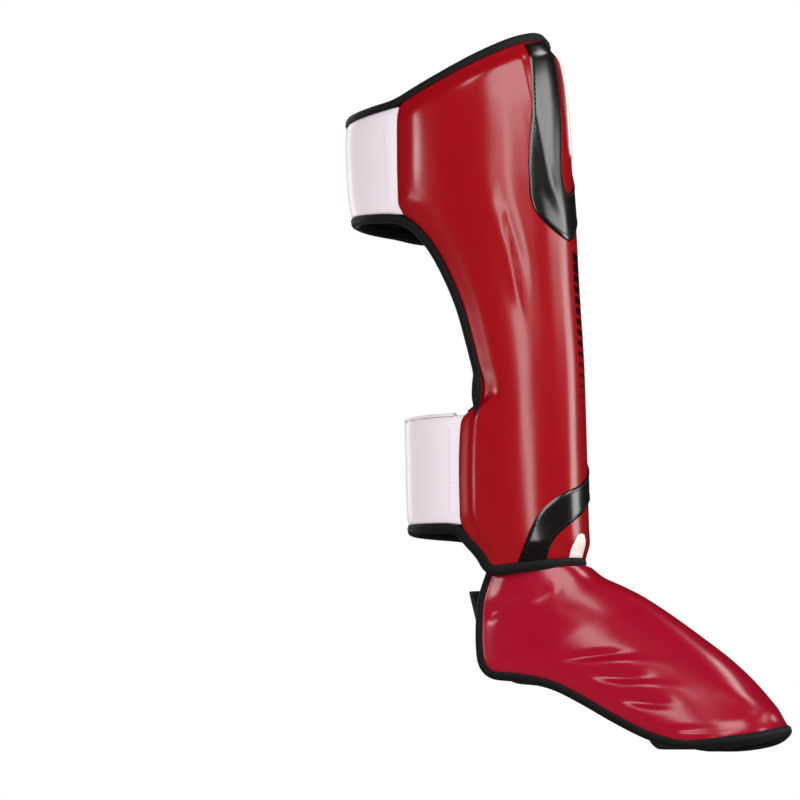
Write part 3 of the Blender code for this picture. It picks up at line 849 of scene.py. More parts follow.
@dataclass
class ShinShell:
    """The padded shin shell: foam between a leather skin and a lining, bound with tape."""

    leg: LegForm
    top_rim: tuple[float, float] = (0.3270, 0.498)
    bottom_rim: tuple[float, float] = (-0.0016, 0.126)
    pad_front: float = 20 * MM
    pad_side: float = 12 * MM
    pad_edge: float = 6.5 * MM
    pad_reach: float = 26 * MM
    # how far round the padding keeps its full thickness, and how far on it gets thin
    front_half: float = 45 * MM
    thinning: float = 30 * MM
    edge_roll: float = 4.0 * MM
    roll_reach: float = 14 * MM
    lining: float = 1.5 * MM
    rows: int = 106
    columns: int = 92
    # height as a share of the shin, place as a share of the depth forward of the axis
    rear_rim: tuple[tuple[float, float], ...] = (
        (0.005, 0.186),
        (0.030, 0.160),
        (0.054, 0.104),
        (0.074, 0.062),
        (0.104, 0.036),
        (0.160, 0.034),
        (0.205, 0.036),
        (0.245, 0.041),
        (0.278, 0.052),
        (0.298, 0.108),
        (0.311, 0.158),
        (0.340, 0.160),
        (0.385, 0.136),
        (0.430, 0.108),
        (0.475, 0.078),
        (0.512, 0.046),
        (0.548, 0.006),
        (0.584, -0.040),
        (0.616, -0.094),
        (0.645, -0.166),
        (0.662, -0.222),
        (0.678, -0.241),
        (0.725, -0.243),
        (0.780, -0.243),
        (0.810, -0.243),
        (0.836, -0.240),
        (0.854, -0.229),
        (0.866, -0.205),
    )
    # ridge down each side of the front: height, distance round
    front_ridge: tuple[tuple[float, float], ...] = (
        (0.000, 0.022),
        (0.069, 0.022),
        (0.117, 0.024),
        (0.174, 0.0245),
        (0.222, 0.028),
        (0.260, 0.038),
        (0.315, 0.050),
        (0.360, 0.054),
    )
    # fold down each side: height, distance round
    side_crease: tuple[tuple[float, float], ...] = (
        (0.000, 0.066),
        (0.018, 0.066),
        (0.066, 0.064),
        (0.105, 0.062),
        (0.141, 0.064),
        (0.171, 0.066),
        (0.198, 0.070),
        (0.231, 0.078),
        (0.243, 0.082),
        (0.280, 0.088),
        (0.360, 0.092),
    )
    ups: np.ndarray = field(init=False, repr=False)
    reaches: np.ndarray = field(init=False, repr=False)
    heights: np.ndarray = field(init=False, repr=False)
    tree: BVHTree | None = field(init=False, default=None, repr=False)
    outer: np.ndarray = field(init=False, repr=False)
    back: np.ndarray = field(init=False, repr=False)
    behind: np.ndarray = field(init=False, repr=False)
    rim: np.ndarray = field(init=False, repr=False)
    cloth: np.ndarray = field(init=False, repr=False)

    def __post_init__(self) -> None:
        """Works out the rear rim as distances round by share up."""
        ups, reaches, heights = [], [], []
        for height_share, forward_share in self.rear_rim:
            height, forward = height_share * self.leg.shin_length, forward_share * self.leg.depth
            bottom, top = self.rims(forward)
            ups.append(min(1.0, max(0.0, (height - bottom) / (top - bottom))))
            reaches.append(self.leg.distance_at(height, forward))
            heights.append(height)
        ups[0], ups[-1] = 0.0, 1.0
        self.ups, self.reaches, self.heights = np.array(ups), np.array(reaches), np.array(heights)

    def rims(self, forward: np.ndarray | float) -> tuple:
        """Heights of the bottom and the top rim this far forward."""
        return (
            self.bottom_rim[0] + self.bottom_rim[1] * forward,
            self.top_rim[0] + self.top_rim[1] * forward,
        )

    def reach(self, up: np.ndarray) -> np.ndarray:
        """Distance round from the front centre to the rear rim, by share up."""
        return even_curve(self.ups, self.reaches, up)

    def reach_at(self, height: float) -> float:
        """The same, by the height at the rear rim."""
        return float(np.interp(height, self.heights, self.reaches))

    def height(self, distance: np.ndarray, up: np.ndarray) -> np.ndarray:
        """Height of the points this far round and this share up.

        Args:
            distance: distances round.
            up: shares of the way from the bottom rim to the top rim.

        Returns:
            Heights above the ankle seam.
        """
        height = up * self.leg.shin_length
        for _ in range(8):
            bottom, top = self.rims(self.leg.place(height, distance)[..., 0])
            height = bottom + up * (top - bottom)
        return height

    def rim_distance(self, distance: np.ndarray, up: np.ndarray, height: np.ndarray) -> np.ndarray:
        """Distance to the nearest rim.

        Args:
            distance: distances round.
            up: shares of the way from the bottom rim to the top rim.
            height: heights above the ankle seam.

        Returns:
            Distances, 0 at the rim.
        """
        bottom, top = self.rims(self.leg.place(height, distance)[..., 0])
        near = np.minimum(self.reach(up) - np.abs(distance), height - bottom)
        return np.maximum(0.0, np.minimum(near, top - height))

    def line(self, table: tuple[tuple[float, float], ...], height: np.ndarray) -> np.ndarray:
        """Where a ridge or fold runs at each height, as a distance round."""
        rows = np.array(table)
        return even_curve(rows[:, 0], rows[:, 1], height)

    def side_relief(self, far: np.ndarray, height: np.ndarray) -> np.ndarray:
        """How far the skin stands in (negative) or out at the ridge, the fold and the pulled crease.

        Args:
            far: distances round, on either side.
            height: heights above the ankle seam.

        Returns:
            Millimetres outwards.
        """
        crease, front = self.line(self.side_crease, height), self.line(self.front_ridge, height)
        # The ridge is a hump beside the upper band and a flat facet below it
        in_band = smooth_step((height - 0.235) / 0.020)
        ridge = 1.1 * bump(far, front, 3.4 * MM) * in_band - 0.3 * bump(far, front, 6 * MM) * (1 - in_band)
        ridge *= window(height, 0.004, 0.030, 0.356, 0.020)
        # The fold is a hump in the upper half and a facet, wider near the ankle, in the lower half
        high_up = smooth_step((height - 0.165) / 0.030)
        wide = 6 * MM + 3.5 * MM * smooth_step((0.110 - height) / 0.060)
        fold = 0.9 * bump(far, crease, 3.6 * MM) * high_up - 0.45 * bump(far, crease, wide) * (1 - high_up)
        flat = -0.7 * bump(far, (crease + front) / 2, 12 * MM)
        # The pulled crease is steep towards the rear, with a long soft slope towards the front
        past = (crease - 6 * MM - far) / MM
        pulled = np.where(past < 0, np.exp(-((past / 2.2) ** 2)), 1 - smooth_step(past / 13))
        groove = -1.5 * pulled * bump(height, 0.205, 0.036)
        return ridge + (flat + fold) * window(height, 0.004, 0.030, 0.290, 0.060) + groove

    def ear_relief(self, rear: np.ndarray, height: np.ndarray) -> np.ndarray:
        """How far the skin stands in or out along the rims of the ears that carry the straps.

        Args:
            rear: distances to the rear rim.
            height: heights above the ankle seam.

        Returns:
            Millimetres outwards.
        """
        upper = 0.8 * bump(rear, 18 * MM, 4.0 * MM) - 0.9 * bump(rear, 9 * MM, 4.4 * MM)
        upper += 0.6 * bump(rear, 4 * MM, 2.5 * MM)
        lower = 1.2 * bump(rear, 13.5 * MM, 2.6 * MM) - 1.6 * bump(rear, 9.5 * MM, 2.0 * MM)
        upper *= window(height, 0.222, 0.015, 0.325, 0.020)
        return upper + lower * window(height, 0.018, 0.012, 0.112, 0.012)

    def grid_places(self) -> tuple[np.ndarray, np.ndarray, np.ndarray, np.ndarray]:
        """Distance round, height, distance to the rear rim and to any rim, of each grid point.

        Returns:
            Four grids, with closer columns near the rear rims.
        """
        shares = np.linspace(0, 1, self.rows)
        up = (0.5 - 0.5 * np.cos(np.pi * shares)) * 0.35 + shares * 0.65
        up, side = np.meshgrid(up, np.linspace(-1, 1, self.columns + 1), indexing="ij")
        reach, share = self.reach(up), np.abs(side)
        front = np.minimum(72 * MM, 0.80 * reach)
        beyond = front + (share - 0.74) / 0.26 * (reach - front)
        distance = np.sign(side) * np.where(share < 0.74, share / 0.74 * front, beyond)
        height = self.height(distance, up)
        return distance, height, reach - np.abs(distance), self.rim_distance(distance, up, height)

    def lay_out(self) -> None:
        """Grids of the outer skin, the padding's back, the lining's back and the cloth map."""
        distance, height, rear, rim = self.grid_places()
        far = np.abs(distance)
        roll = self.edge_roll * (1 - smooth_step(rim / self.roll_reach))
        relief = (self.side_relief(far, height) + self.ear_relief(rear, height)) * MM
        thin = smooth_step((far - self.front_half) / self.thinning)
        full = self.pad_front + (self.pad_side - self.pad_front) * thin
        pad = self.pad_edge + (full - self.pad_edge) * smooth_step(rim / self.pad_reach)
        self.outer = self.leg.place(height, distance, relief * smooth_step(rim / (8 * MM)) - roll)
        self.back = self.leg.place(height, distance, -roll - pad)
        self.behind = self.leg.place(height, distance, -roll - pad - self.lining)
        for face in (self.outer, self.back, self.behind):
            face[..., 2] -= ORIGIN_HEIGHT
        self.rim, self.cloth = rim, cloth_map(distance, height)

    def build(self) -> bpy.types.Object:
        """The padded shell, swollen between its seams.

        Returns:
            The shell.
        """
        self.lay_out()
        shell = slab_between("padded_shin_shell", self.outer, self.back, self.cloth)
        far, height = np.abs(self.cloth[..., 0]), self.cloth[..., 1]
        rows = np.array(self.side_crease)
        crease = np.interp(height, rows[:, 0], rows[:, 1])
        seam = 0.8 * bump(far, crease - 7 * MM, 4 * MM) * bump(height, 0.205, 0.05)
        edge = 1 - smooth_step((self.rim - 2 * MM) / (9 * MM))
        held = np.clip(np.maximum(edge, seam), 0, 1).ravel()
        held = np.concatenate([held, np.ones(held.size)])
        self.outer = Padding().swell(shell, self.outer, held, 2.2 * MM)
        subdivide_smooth(shell)
        self.tree = BVHTree.FromObject(shell, bpy.context.evaluated_depsgraph_get())
        dress(shell, RED_LEATHER, "red_leather", "shin_shell")
        return shell

    def build_lining(self) -> bpy.types.Object:
        """The lining inside the shell, faintly quilted.

        Returns:
            The lining.
        """
        normal = grid_normals(self.back)
        quilt = 0.5 * MM * (1 - np.abs(np.sin(self.cloth[..., 0] / (22 * MM) * np.pi)) ** 0.5)
        inside = smooth_step(self.rim / (12 * MM))
        front = self.back - normal * 0.3 * MM
        rear = self.behind + normal * (quilt * inside)[..., None]
        lining = slab_between("shin_lining_cloth", front, rear, self.cloth)
        subdivide_smooth(lining)
        return dress(lining, LINING_CLOTH, "black_lining_cloth", "shin_lining")

    def on_skin(self, distance: np.ndarray, height: np.ndarray, out: np.ndarray | float) -> np.ndarray:
        """Points on the swollen skin.

        Args:
            distance: distances round.
            height: heights above the ankle seam.
            out: how far above the skin.

        Returns:
            Points in the frame.
        """
        above = 30 * MM
        down = np.array((0.0, 0.0, ORIGIN_HEIGHT))
        start = self.leg.place(height, distance, above) - down
        end = self.leg.place(height, distance) - down
        out = np.broadcast_to(out, distance.shape)
        found = np.array(end)
        for k in np.ndindex(distance.shape):
            ray = Vector(end[k] - start[k]).normalized()
            hit, _normal, _face, _far = self.tree.ray_cast(Vector(start[k]), ray, 2 * above)
            base = np.array(hit) if hit else end[k]
            found[k] = base - np.array(ray) * out[k]
        return found

    def row_at(self, height: float) -> int:
        """The row whose rear end is nearest to a height above the ankle seam."""
        return int(np.argmin(np.abs(self.outer[:, 0, 2] + ORIGIN_HEIGHT - height)))


def even_pair(outer: np.ndarray, inner: np.ndarray, step: float) -> tuple[np.ndarray, np.ndarray]:
    """The same two edges with points at even steps.

    Args:
        outer: points on the outer face.
        inner: their partners on the inner face.
        step: distance from point to point.

    Returns:
        Both edges.
    """
    along = distances_along((outer + inner) / 2)
    keep = np.concatenate([[True], np.diff(along) > 1e-5])
    along, outer, inner = along[keep], outer[keep], inner[keep]
    at = np.linspace(0, along[-1], int(along[-1] / step) + 1)
    return tuple(read_at(at, along, edge) for edge in (outer, inner))


@dataclass
class Binding:
    """Grosgrain tape folded over a rim and sewn through, with its row of stitches."""

    width: float = 5.0 * MM
    over: float = 0.7 * MM
    lap: float = 0.6 * MM
    rounding: int = 6
    finish: Finish = BINDING_TAPE
    slot: str = "black_binding_tape"

    def frame_of(self, outer: np.ndarray, inner: np.ndarray) -> tuple[np.ndarray, ...]:
        """Path, outward direction, direction through the padding and half thickness along a rim.

        Args:
            outer: the rim's points on the outer face.
            inner: the rim's points on the inner face.

        Returns:
            The path, the outward directions, the directions across and the half thickness.
        """
        top, bottom = soften(outer, self.rounding), soften(inner, self.rounding)
        middle = (top + bottom) / 2
        half = np.linalg.norm(top - bottom, axis=1) / 2
        along = unit(np.gradient(middle, axis=0))
        across = unit(top - bottom)
        out = unit(np.cross(along, across))
        across = unit(np.cross(out, along))
        return middle, out, across, half

    def build(
        self, name: str, outer: np.ndarray, inner: np.ndarray, *nodes: str, taper: float = 0.0
    ) -> bpy.types.Object:
        """Folds the tape over a rim.

        Args:
            name: the piece's name.
            outer: the rim's points on the outer face.
            inner: the rim's points on the inner face.
            nodes: CAD nodes that it replaces.
            taper: length over which its end gets narrow.

        Returns:
            The tape.
        """
        middle, out, across, half = self.frame_of(outer, inner)
        w, o, lap = self.width, self.over, self.lap
        shape = np.array(
            [
                (-lap, -1.0, -0.2 * MM),
                (-lap, -1.0, -0.75 * o),
                (-lap * 0.5, -1.0, -0.95 * o),
                (w * 0.25, -1.0, -o),
                (w * 0.62, -0.94, -o),
                (w * 0.88, -0.70, -o * 0.6),
                (w, -0.30, 0.0),
                (w, 0.30, 0.0),
                (w * 0.88, 0.70, o * 0.6),
                (w * 0.62, 0.94, o),
                (w * 0.25, 1.0, o),
                (-lap * 0.5, 1.0, 0.95 * o),
                (-lap, 1.0, 0.75 * o),
                (-lap, 1.0, 0.2 * MM),
            ]
        )
        left = distances_along(middle)[-1] - distances_along(middle)
        narrow = np.clip(left / taper, 0.15, 1.0) if taper else np.ones(len(left))
        tape = swept(name, middle, out * narrow[:, None], across, half, shape)
        if self.finish is BINDING_TAPE:
            line = middle + out * w * 0.2 + across * (half + o * 0.98)[:, None]
            whole = slice(0, int(np.sum(narrow >= 1.0)))
            stitch_row(name + "_stitches", line[whole], across[whole], THREAD, self.slot)
        return dress(tape, self.finish, self.slot, *nodes)


def stitch_row(
    name: str,
    path: np.ndarray,
    up: np.ndarray,
    finish: Cloth,
    slot: str,
    pitch: float = 3.4 * MM,
    thick: float = 0.75 * MM,
) -> bpy.types.Object:
    """Stitches along a line: one small rounded stitch, copied.

    Args:
        name: the piece's name.
        path: the line on the surface.
        up: the surface's normals along it.
        finish: the thread.
        slot: the record's material slot.
        pitch: distance from stitch to stitch.
        thick: the thread's thickness.

    Returns:
        The row, one piece.
    """
    along = distances_along(path)
    count = max(2, int(along[-1] / pitch))
    at = (np.arange(count) + 0.5) * along[-1] / count
    centre, normal = read_at(at, along, path), unit(read_at(at, along, up))
    run = unit(read_at(at + 0.4 * MM, along, path) - read_at(at - 0.4 * MM, along, path))
    side = unit(np.cross(run, normal))
    # share of the pitch along, share of the thickness
    rings = [(-0.36, 0.25), (-0.26, 0.85), (0.0, 1.0), (0.26, 0.85), (0.36, 0.25)]
    sides = 6
    corners = [(math.cos(a), math.sin(a)) for a in np.arange(sides) * 2 * math.pi / sides]
    points, faces, uvs = [], [], []
    for k in range(count):
        base = len(points)
        for place, size in rings:
            lift = thick * (0.25 * size - 0.12)
            for x, z in corners:
                points.append(
                    centre[k]
                    + run[k] * place * pitch
                    + side[k] * x * thick * 0.5 * size
                    + normal[k] * (z * thick * 0.42 * size + lift)
                )
                uvs.append((at[k] + place * pitch, x * thick))
        for r in range(base, base + (len(rings) - 1) * sides, sides):
            for j in range(sides):
                a, b = r + j, r + (j + 1) % sides
                faces.append((a, b, b + sides, a + sides))
        last = len(points) - sides
        faces += [tuple(range(base, base + sides)), tuple(range(last + sides - 1, last - 1, -1))]
    row = mesh_object(name, np.array(points), faces, np.array(uvs))
    return dress(row, finish, slot)


@dataclass
class WrapStrap:
    """A wide leather strap sewn to one ear and lapped over the other, lined, with taped edges."""

    name: str
    shell: ShinShell
    bottom: float
    top: float
    bottom_slope: float
    top_slope: float
    lap: float
    thick: float = 3.0 * MM
    lining: float = 1.5 * MM
    gap: float = 0.3 * MM
    tuck: float = 7.0 * MM
    rows: int = 18
    columns: int = 120
    top_edge: tuple[np.ndarray, np.ndarray] = field(init=False, repr=False)
    bottom_edge: tuple[np.ndarray, np.ndarray] = field(init=False, repr=False)

    def face(self, depth: float, puff: float = 0.0) -> np.ndarray:
        """A grid of the strap's face.

        Args:
            depth: how far in from the outer face.
            puff: how far the middle is padded out.

        Returns:
            Rows from the bottom to the top.
        """
        leg, shell = self.shell.leg, self.shell
        widest = max(shell.reach_at(h) for h in np.linspace(self.bottom, self.top, 9))
        lift = self.thick + self.gap * 8 + self.lining
        grid = []
        for share in np.linspace(0, 1, self.rows):
            height = self.bottom + share * (self.top - self.bottom)
            reach = max(shell.reach_at(height), widest - MM)
            total = float(leg.length(np.array(height)))
            start, stop = -(widest - self.tuck), -(2 * total - (reach - self.lap))
            distance = np.linspace(start, stop, self.columns)
            to_ear = (2 * total - np.abs(distance)) - reach
            rise = smooth_step(1 - (to_ear - 4 * MM) / (24 * MM))
            out = -shell.edge_roll + (shell.edge_roll + lift) * rise
            edge = min(share, 1 - share) * (self.top - self.bottom)
            crown = puff * smooth_step(edge / (9 * MM))
            ends = np.minimum(np.abs(distance - start), np.abs(distance - stop))
            fold = 0.5 * MM * np.sin(distance / (31 * MM) + share * 2.0) * smooth_step(edge / (14 * MM))
            crown = (crown + fold) * smooth_step(ends / (10 * MM))
            row = leg.place(np.full(self.columns, height), distance, out + crown - depth)
            slope = self.bottom_slope + share * (self.top_slope - self.bottom_slope)
            row[:, 2] += slope * row[:, 0] - ORIGIN_HEIGHT
            grid.append(row)
        return np.array(grid)

    def build(self) -> None:
        """The strap, its lining and its rows of stitches. It keeps its edges for the tape."""
        outer, inner = self.face(0.0, 0.6 * MM), self.face(self.thick)
        lining_front = self.face(self.thick + self.gap * 2)
        lining_back = self.face(self.thick + self.gap * 2 + self.lining)
        run = distances_along(outer[self.rows // 2])
        rise = np.linspace(0, self.top - self.bottom, self.rows)
        cloth = cloth_map(run[None, :], rise[:, None])
        strap = slab_between(self.name + "_leather", outer, inner, cloth)
        subdivide_smooth(strap)
        dress(strap, WHITE_LEATHER, "white_leather", self.name)
        lining = slab_between(self.name + "_lining_cloth", lining_front, lining_back, cloth)
        dress(lining, LINING_CLOTH, "black_lining_cloth", self.name + "_lining")
        hidden = int(np.searchsorted(run, self.tuck))
        self.top_edge = (outer[-1, hidden:], lining_back[-1, hidden:])
        self.bottom_edge = (outer[0, hidden:][::-1], lining_back[0, hidden:][::-1])
        normal = outward_normals(outer, inner)
        for label, column in (("sewn_seam", hidden + 2), ("closure_seam", -4)):
            row = (slice(2, self.rows - 2), column)
            stitch_row(f"{self.name}_{label}", outer[row], normal[row], WHITE_THREAD, "white_leather")


@dataclass
class InstepFlap:
    """The padded flap over the instep, with its lining and tape."""

    reach: float = 0.2205
    drop: float = 0.1205
    width: float = 0.124
    pad: float = 11 * MM
    edge: float = 6 * MM
    lining: float = 1.5 * MM
    gap: float = 0.3 * MM
    pad_reach: float = 26 * MM
    edge_roll: float = 1.9 * MM
    roll_reach: float = 14 * MM
    square: float = 2.5
    rows: int = 84
    columns: int = 96
    # top forward, top drop, hem forward, hem drop, half width, dip
    ribs: tuple[tuple[float, ...], ...] = (
        (0.388, -0.0480, 0.127, 0.0020, 0.355, 1.00),
        (0.435, 0.018, 0.098, 0.183, 0.365, 1.00),
        (0.494, 0.068, 0.095, 0.349, 0.370, 1.00),
        (0.549, 0.120, 0.100, 0.477, 0.375, 1.00),
        (0.599, 0.178, 0.130, 0.544, 0.382, 1.00),
        (0.662, 0.258, 0.205, 0.556, 0.392, 0.95),
        (0.737, 0.360, 0.297, 0.589, 0.408, 0.88),
        (0.812, 0.466, 0.398, 0.675, 0.430, 0.80),
        (0.880, 0.582, 0.500, 0.780, 0.456, 0.72),
        (0.934, 0.695, 0.602, 0.872, 0.480, 0.66),
        (0.970, 0.780, 0.672, 0.912, 0.492, 0.63),
        (0.990, 0.826, 0.718, 0.925, 0.496, 0.62),
    )
    # dents and folds: along, share round, long, wide, turn in degrees, depth in mm
    dents: tuple[tuple[float, ...], ...] = (
        (0.12, -0.90, 0.110, 0.022, 90, 1.5),
        (0.14, -0.66, 0.130, 0.035, 35, -0.9),
        (0.20, -0.52, 0.110, 0.035, 35, 0.7),
        (0.50, -0.64, 0.050, 0.024, 70, 1.5),
        (0.61, -0.72, 0.048, 0.026, 65, 1.9),
        (0.71, -0.78, 0.046, 0.026, 65, 1.8),
        (0.56, -0.60, 0.060, 0.026, 60, -0.9),
        (0.66, -0.66, 0.060, 0.026, 60, -0.9),
        (0.86, -0.80, 0.090, 0.030, 75, 0.9),
        (0.86, -0.22, 0.160, 0.040, 30, -0.8),
        (0.50, 0.62, 0.060, 0.030, -70, 1.0),
        (0.66, 0.74, 0.060, 0.032, -65, 1.1),
        (0.20, 0.55, 0.110, 0.035, -35, 0.8),
    )

    def rib(self, along: float) -> tuple[np.ndarray, float]:
        """Points of one rib, evenly spaced from hem to hem, and its length.

        Args:
            along: 0 at the ankle to 1 at the toes.

        Returns:
            The points and the rib's length.
        """
        ribs = np.array(self.ribs)
        place = along * (len(ribs) - 1)
        top_x, top_z, hem_x, hem_z, half, dip = (
            float(even_curve(np.arange(len(ribs)), ribs[:, k], place)) for k in range(6)
        )
        share = np.linspace(-1, 1, 401)
        angle = np.abs(share) * math.pi / 2
        power = 2 / self.square
        down = 1 - np.maximum(0.0, np.cos(angle)) ** power
        side = np.sin(angle) ** power
        dense = np.stack(
            [
                self.reach * (top_x + (hem_x - top_x) * down),
                np.sign(share) * side * half * self.width,
                -self.drop * (top_z + (hem_z - top_z) * down**dip),
            ],
            axis=1,
        )
        far = distances_along(dense)
        wanted = np.linspace(0, far[-1], self.columns + 1)
        return read_at(wanted, far, dense), far[-1]

    def relief(self, along: np.ndarray, share: np.ndarray) -> np.ndarray:
        """How far the skin stands in or out at its dents and folds.

        Args:
            along: 0 at the ankle to 1 at the toes.
            share: -1 at the sewn side's hem to 1 at the other hem.

        Returns:
            Metres outwards.
        """
        total = np.zeros_like(along)
        for at, side, long, wide, turn, deep in self.dents:
            angle = math.radians(turn)
            x, y = along - at, (share - side) * 0.5
            u = x * math.cos(angle) + y * math.sin(angle)
            v = -x * math.sin(angle) + y * math.cos(angle)
            total -= deep * MM * np.exp(-((u / long) ** 2) - (v / wide) ** 2)
        return total

    def build(self) -> bpy.types.Object:
        """The padded flap, swollen, with its lining and tape.

        Returns:
            The flap.
        """
        alongs = np.linspace(0, 1, self.rows)
        ribs = [self.rib(a) for a in alongs]
        face = np.array([points for points, _length in ribs])
        length = np.array([size for _points, size in ribs])
        face[..., 2] -= ORIGIN_HEIGHT
        normal = unit(np.cross(np.gradient(face, axis=0), np.gradient(face, axis=1)))
        middle = normal[self.rows // 2, self.columns // 2]
        if middle[0] + middle[2] < 0:
            normal = -normal
        column = np.arange(self.columns + 1)
        near = np.minimum(column, self.columns - column)[None, :] * (length / self.columns)[:, None]
        down = distances_along(face[:, self.columns // 2])
        rim = np.minimum(near, (down[-1] - down)[:, None])
        share = np.broadcast_to(column / self.columns * 2 - 1, rim.shape)
        along = np.broadcast_to(alongs[:, None], rim.shape)
        roll = self.edge_roll * (1 - smooth_step(rim / self.roll_reach))
        pad = self.edge + (self.pad - self.edge) * smooth_step(rim / self.pad_reach)
        shape = self.relief(along, share) * smooth_step(rim / (8 * MM))

        def grid(pad_share: float, deep: float, relief: float = 0.0) -> np.ndarray:
            """Points this share of the padding and this far in."""
            return face - normal * (roll + pad_share * pad + deep - relief * shape)[..., None]

        outer, inner = grid(0, 0, 1.0), grid(1, 0)
        front, back = grid(1, 2 * self.gap), grid(1, 2 * self.gap + self.lining)
        cloth = cloth_map(share * length[:, None] / 2, down[:, None])
        flap = slab_between("padded_instep_flap", outer, inner, cloth)
        top = smooth_step((down[:, None] - 3 * MM) / (10 * MM))
        free = smooth_step((rim - 2 * MM) / (9 * MM)) * top
        held = np.concatenate([(1 - free).ravel(), np.ones(rim.size)])
        outer = Padding().swell(flap, outer, held, 1.8 * MM)
        subdivide_smooth(flap)
        dress(flap, FOOT_LEATHER, "red_leather", "foot_shell")
        lining = slab_between("instep_lining_cloth", front, back, cloth)
        dress(lining, LINING_CLOTH, "black_lining_cloth", "foot_lining")
        rims = (np.concatenate([g[:-1, 0], g[-1], g[-2::-1, -1]]) for g in (outer, back))
        tape = Binding(width=4.1 * MM, over=0.6 * MM, lap=0.6 * MM, rounding=5)
        tape.build("instep_hem_tape", *rims, "foot_binding")
        return flap


@dataclass
class Inlay:
    """A thin leather panel sewn onto the shell, with stitches just inside its edge."""

    name: str
    shell: ShinShell
    edges: tuple[tuple[tuple[float, float], ...], tuple[tuple[float, float], ...]]
    finish: Leather
    slot: str
    thread: Cloth
    along: int = 120
    across: int = 22
    thick: float = 0.9 * MM
    # how far in from the edge its seam runs
    seam: float = 2.6 * MM

    def build(self) -> bpy.types.Object:
        """The panel, with rounded edges, and its stitches.

        Returns:
            The panel.
        """
        first, second = (spline(np.array(edge), self.along + 1) * MM for edge in self.edges)
        share = np.linspace(0, 1, self.across + 1)
        share = 0.5 - 0.5 * np.cos(np.pi * share)
        place = first[:, None] + (second - first)[:, None] * share[None, :, None]
        wide = np.linalg.norm(second - first, axis=1)[:, None]
        edge = np.minimum(share, 1 - share)[None, :] * wide
        run = distances_along((first + second) / 2)
        ends = np.minimum(run, run[-1] - run)[:, None]
        edge = np.minimum(edge, ends)
        high = self.thick * (0.25 + 0.75 * np.sqrt(smooth_step(edge / (2.2 * MM))))
        outer = self.shell.on_skin(place[..., 0], place[..., 1], high)
        inner = self.shell.on_skin(place[..., 0], place[..., 1], 0.05 * MM)
        cloth = cloth_map(run[:, None], share[None, :] * wide)
        panel = slab_between(self.name + "_inlay", outer, inner, cloth)
        dress(panel, self.finish, self.slot, self.name)
        inset = max(1, int(np.argmin(np.abs(share * float(wide.mean()) - self.seam))))
        near, far = (slice(4, self.along - 3), inset), (slice(self.along - 4, 3, -1), self.across - inset)
        path, up = (
            np.concatenate([grid[near], grid[far]]) for grid in (outer, outward_normals(outer, inner))
        )
        stitch_row(self.name + "_stitches", path, up, self.thread, self.slot)
        return panel


@dataclass
class Elastic:
    """A flat elastic web on a curved route."""

    name: str
    route: np.ndarray
    low: float
    high: float
    upright: bool
    lean: float = 0.0
    thick: float = 2.2 * MM
    crown: float = 0.25 * MM
    rows: int = 10
    columns: int = 80

    def build(self) -> bpy.types.Object:
        """The web, dressed.

        Returns:
            The web.
        """
        curve = spline(self.route, self.columns)
        along = unit(np.gradient(curve, axis=0))
        side = np.stack([along[:, 1], -along[:, 0]], axis=1)
        share = np.linspace(0, 1, self.columns)
        middle = smooth_step(2.4 * np.minimum(share, 1 - share))
        outer, inner = [], []
        for share in np.linspace(0, 1, self.rows):
            crown = self.crown * (1 - abs(2 * share - 1) ** 6)
            moved = curve + np.outer(middle, (self.lean * (1 - share), 0.0))
            flat = np.full((len(curve), 1), self.low + share * (self.high - self.low))
            for grid, line in (
                (outer, moved + side * (crown - self.crown)),
                (inner, moved - side * (self.thick - self.crown + crown)),
            ):
                grid.append(np.hstack([line, flat] if self.upright else [flat, line]))
        down = np.array((0.0, 0.0, ORIGIN_HEIGHT))
        outer, inner = np.array(outer) - down, np.array(inner) - down
        rise = np.linspace(0, self.high - self.low, self.rows)
        cloth = cloth_map(distances_along(curve)[None, :], rise[:, None])
        web = slab_between(self.name + "_web", outer, inner, cloth)
        return dress(web, ELASTIC_WEB, "black_elastic", self.name)


# The whole guard


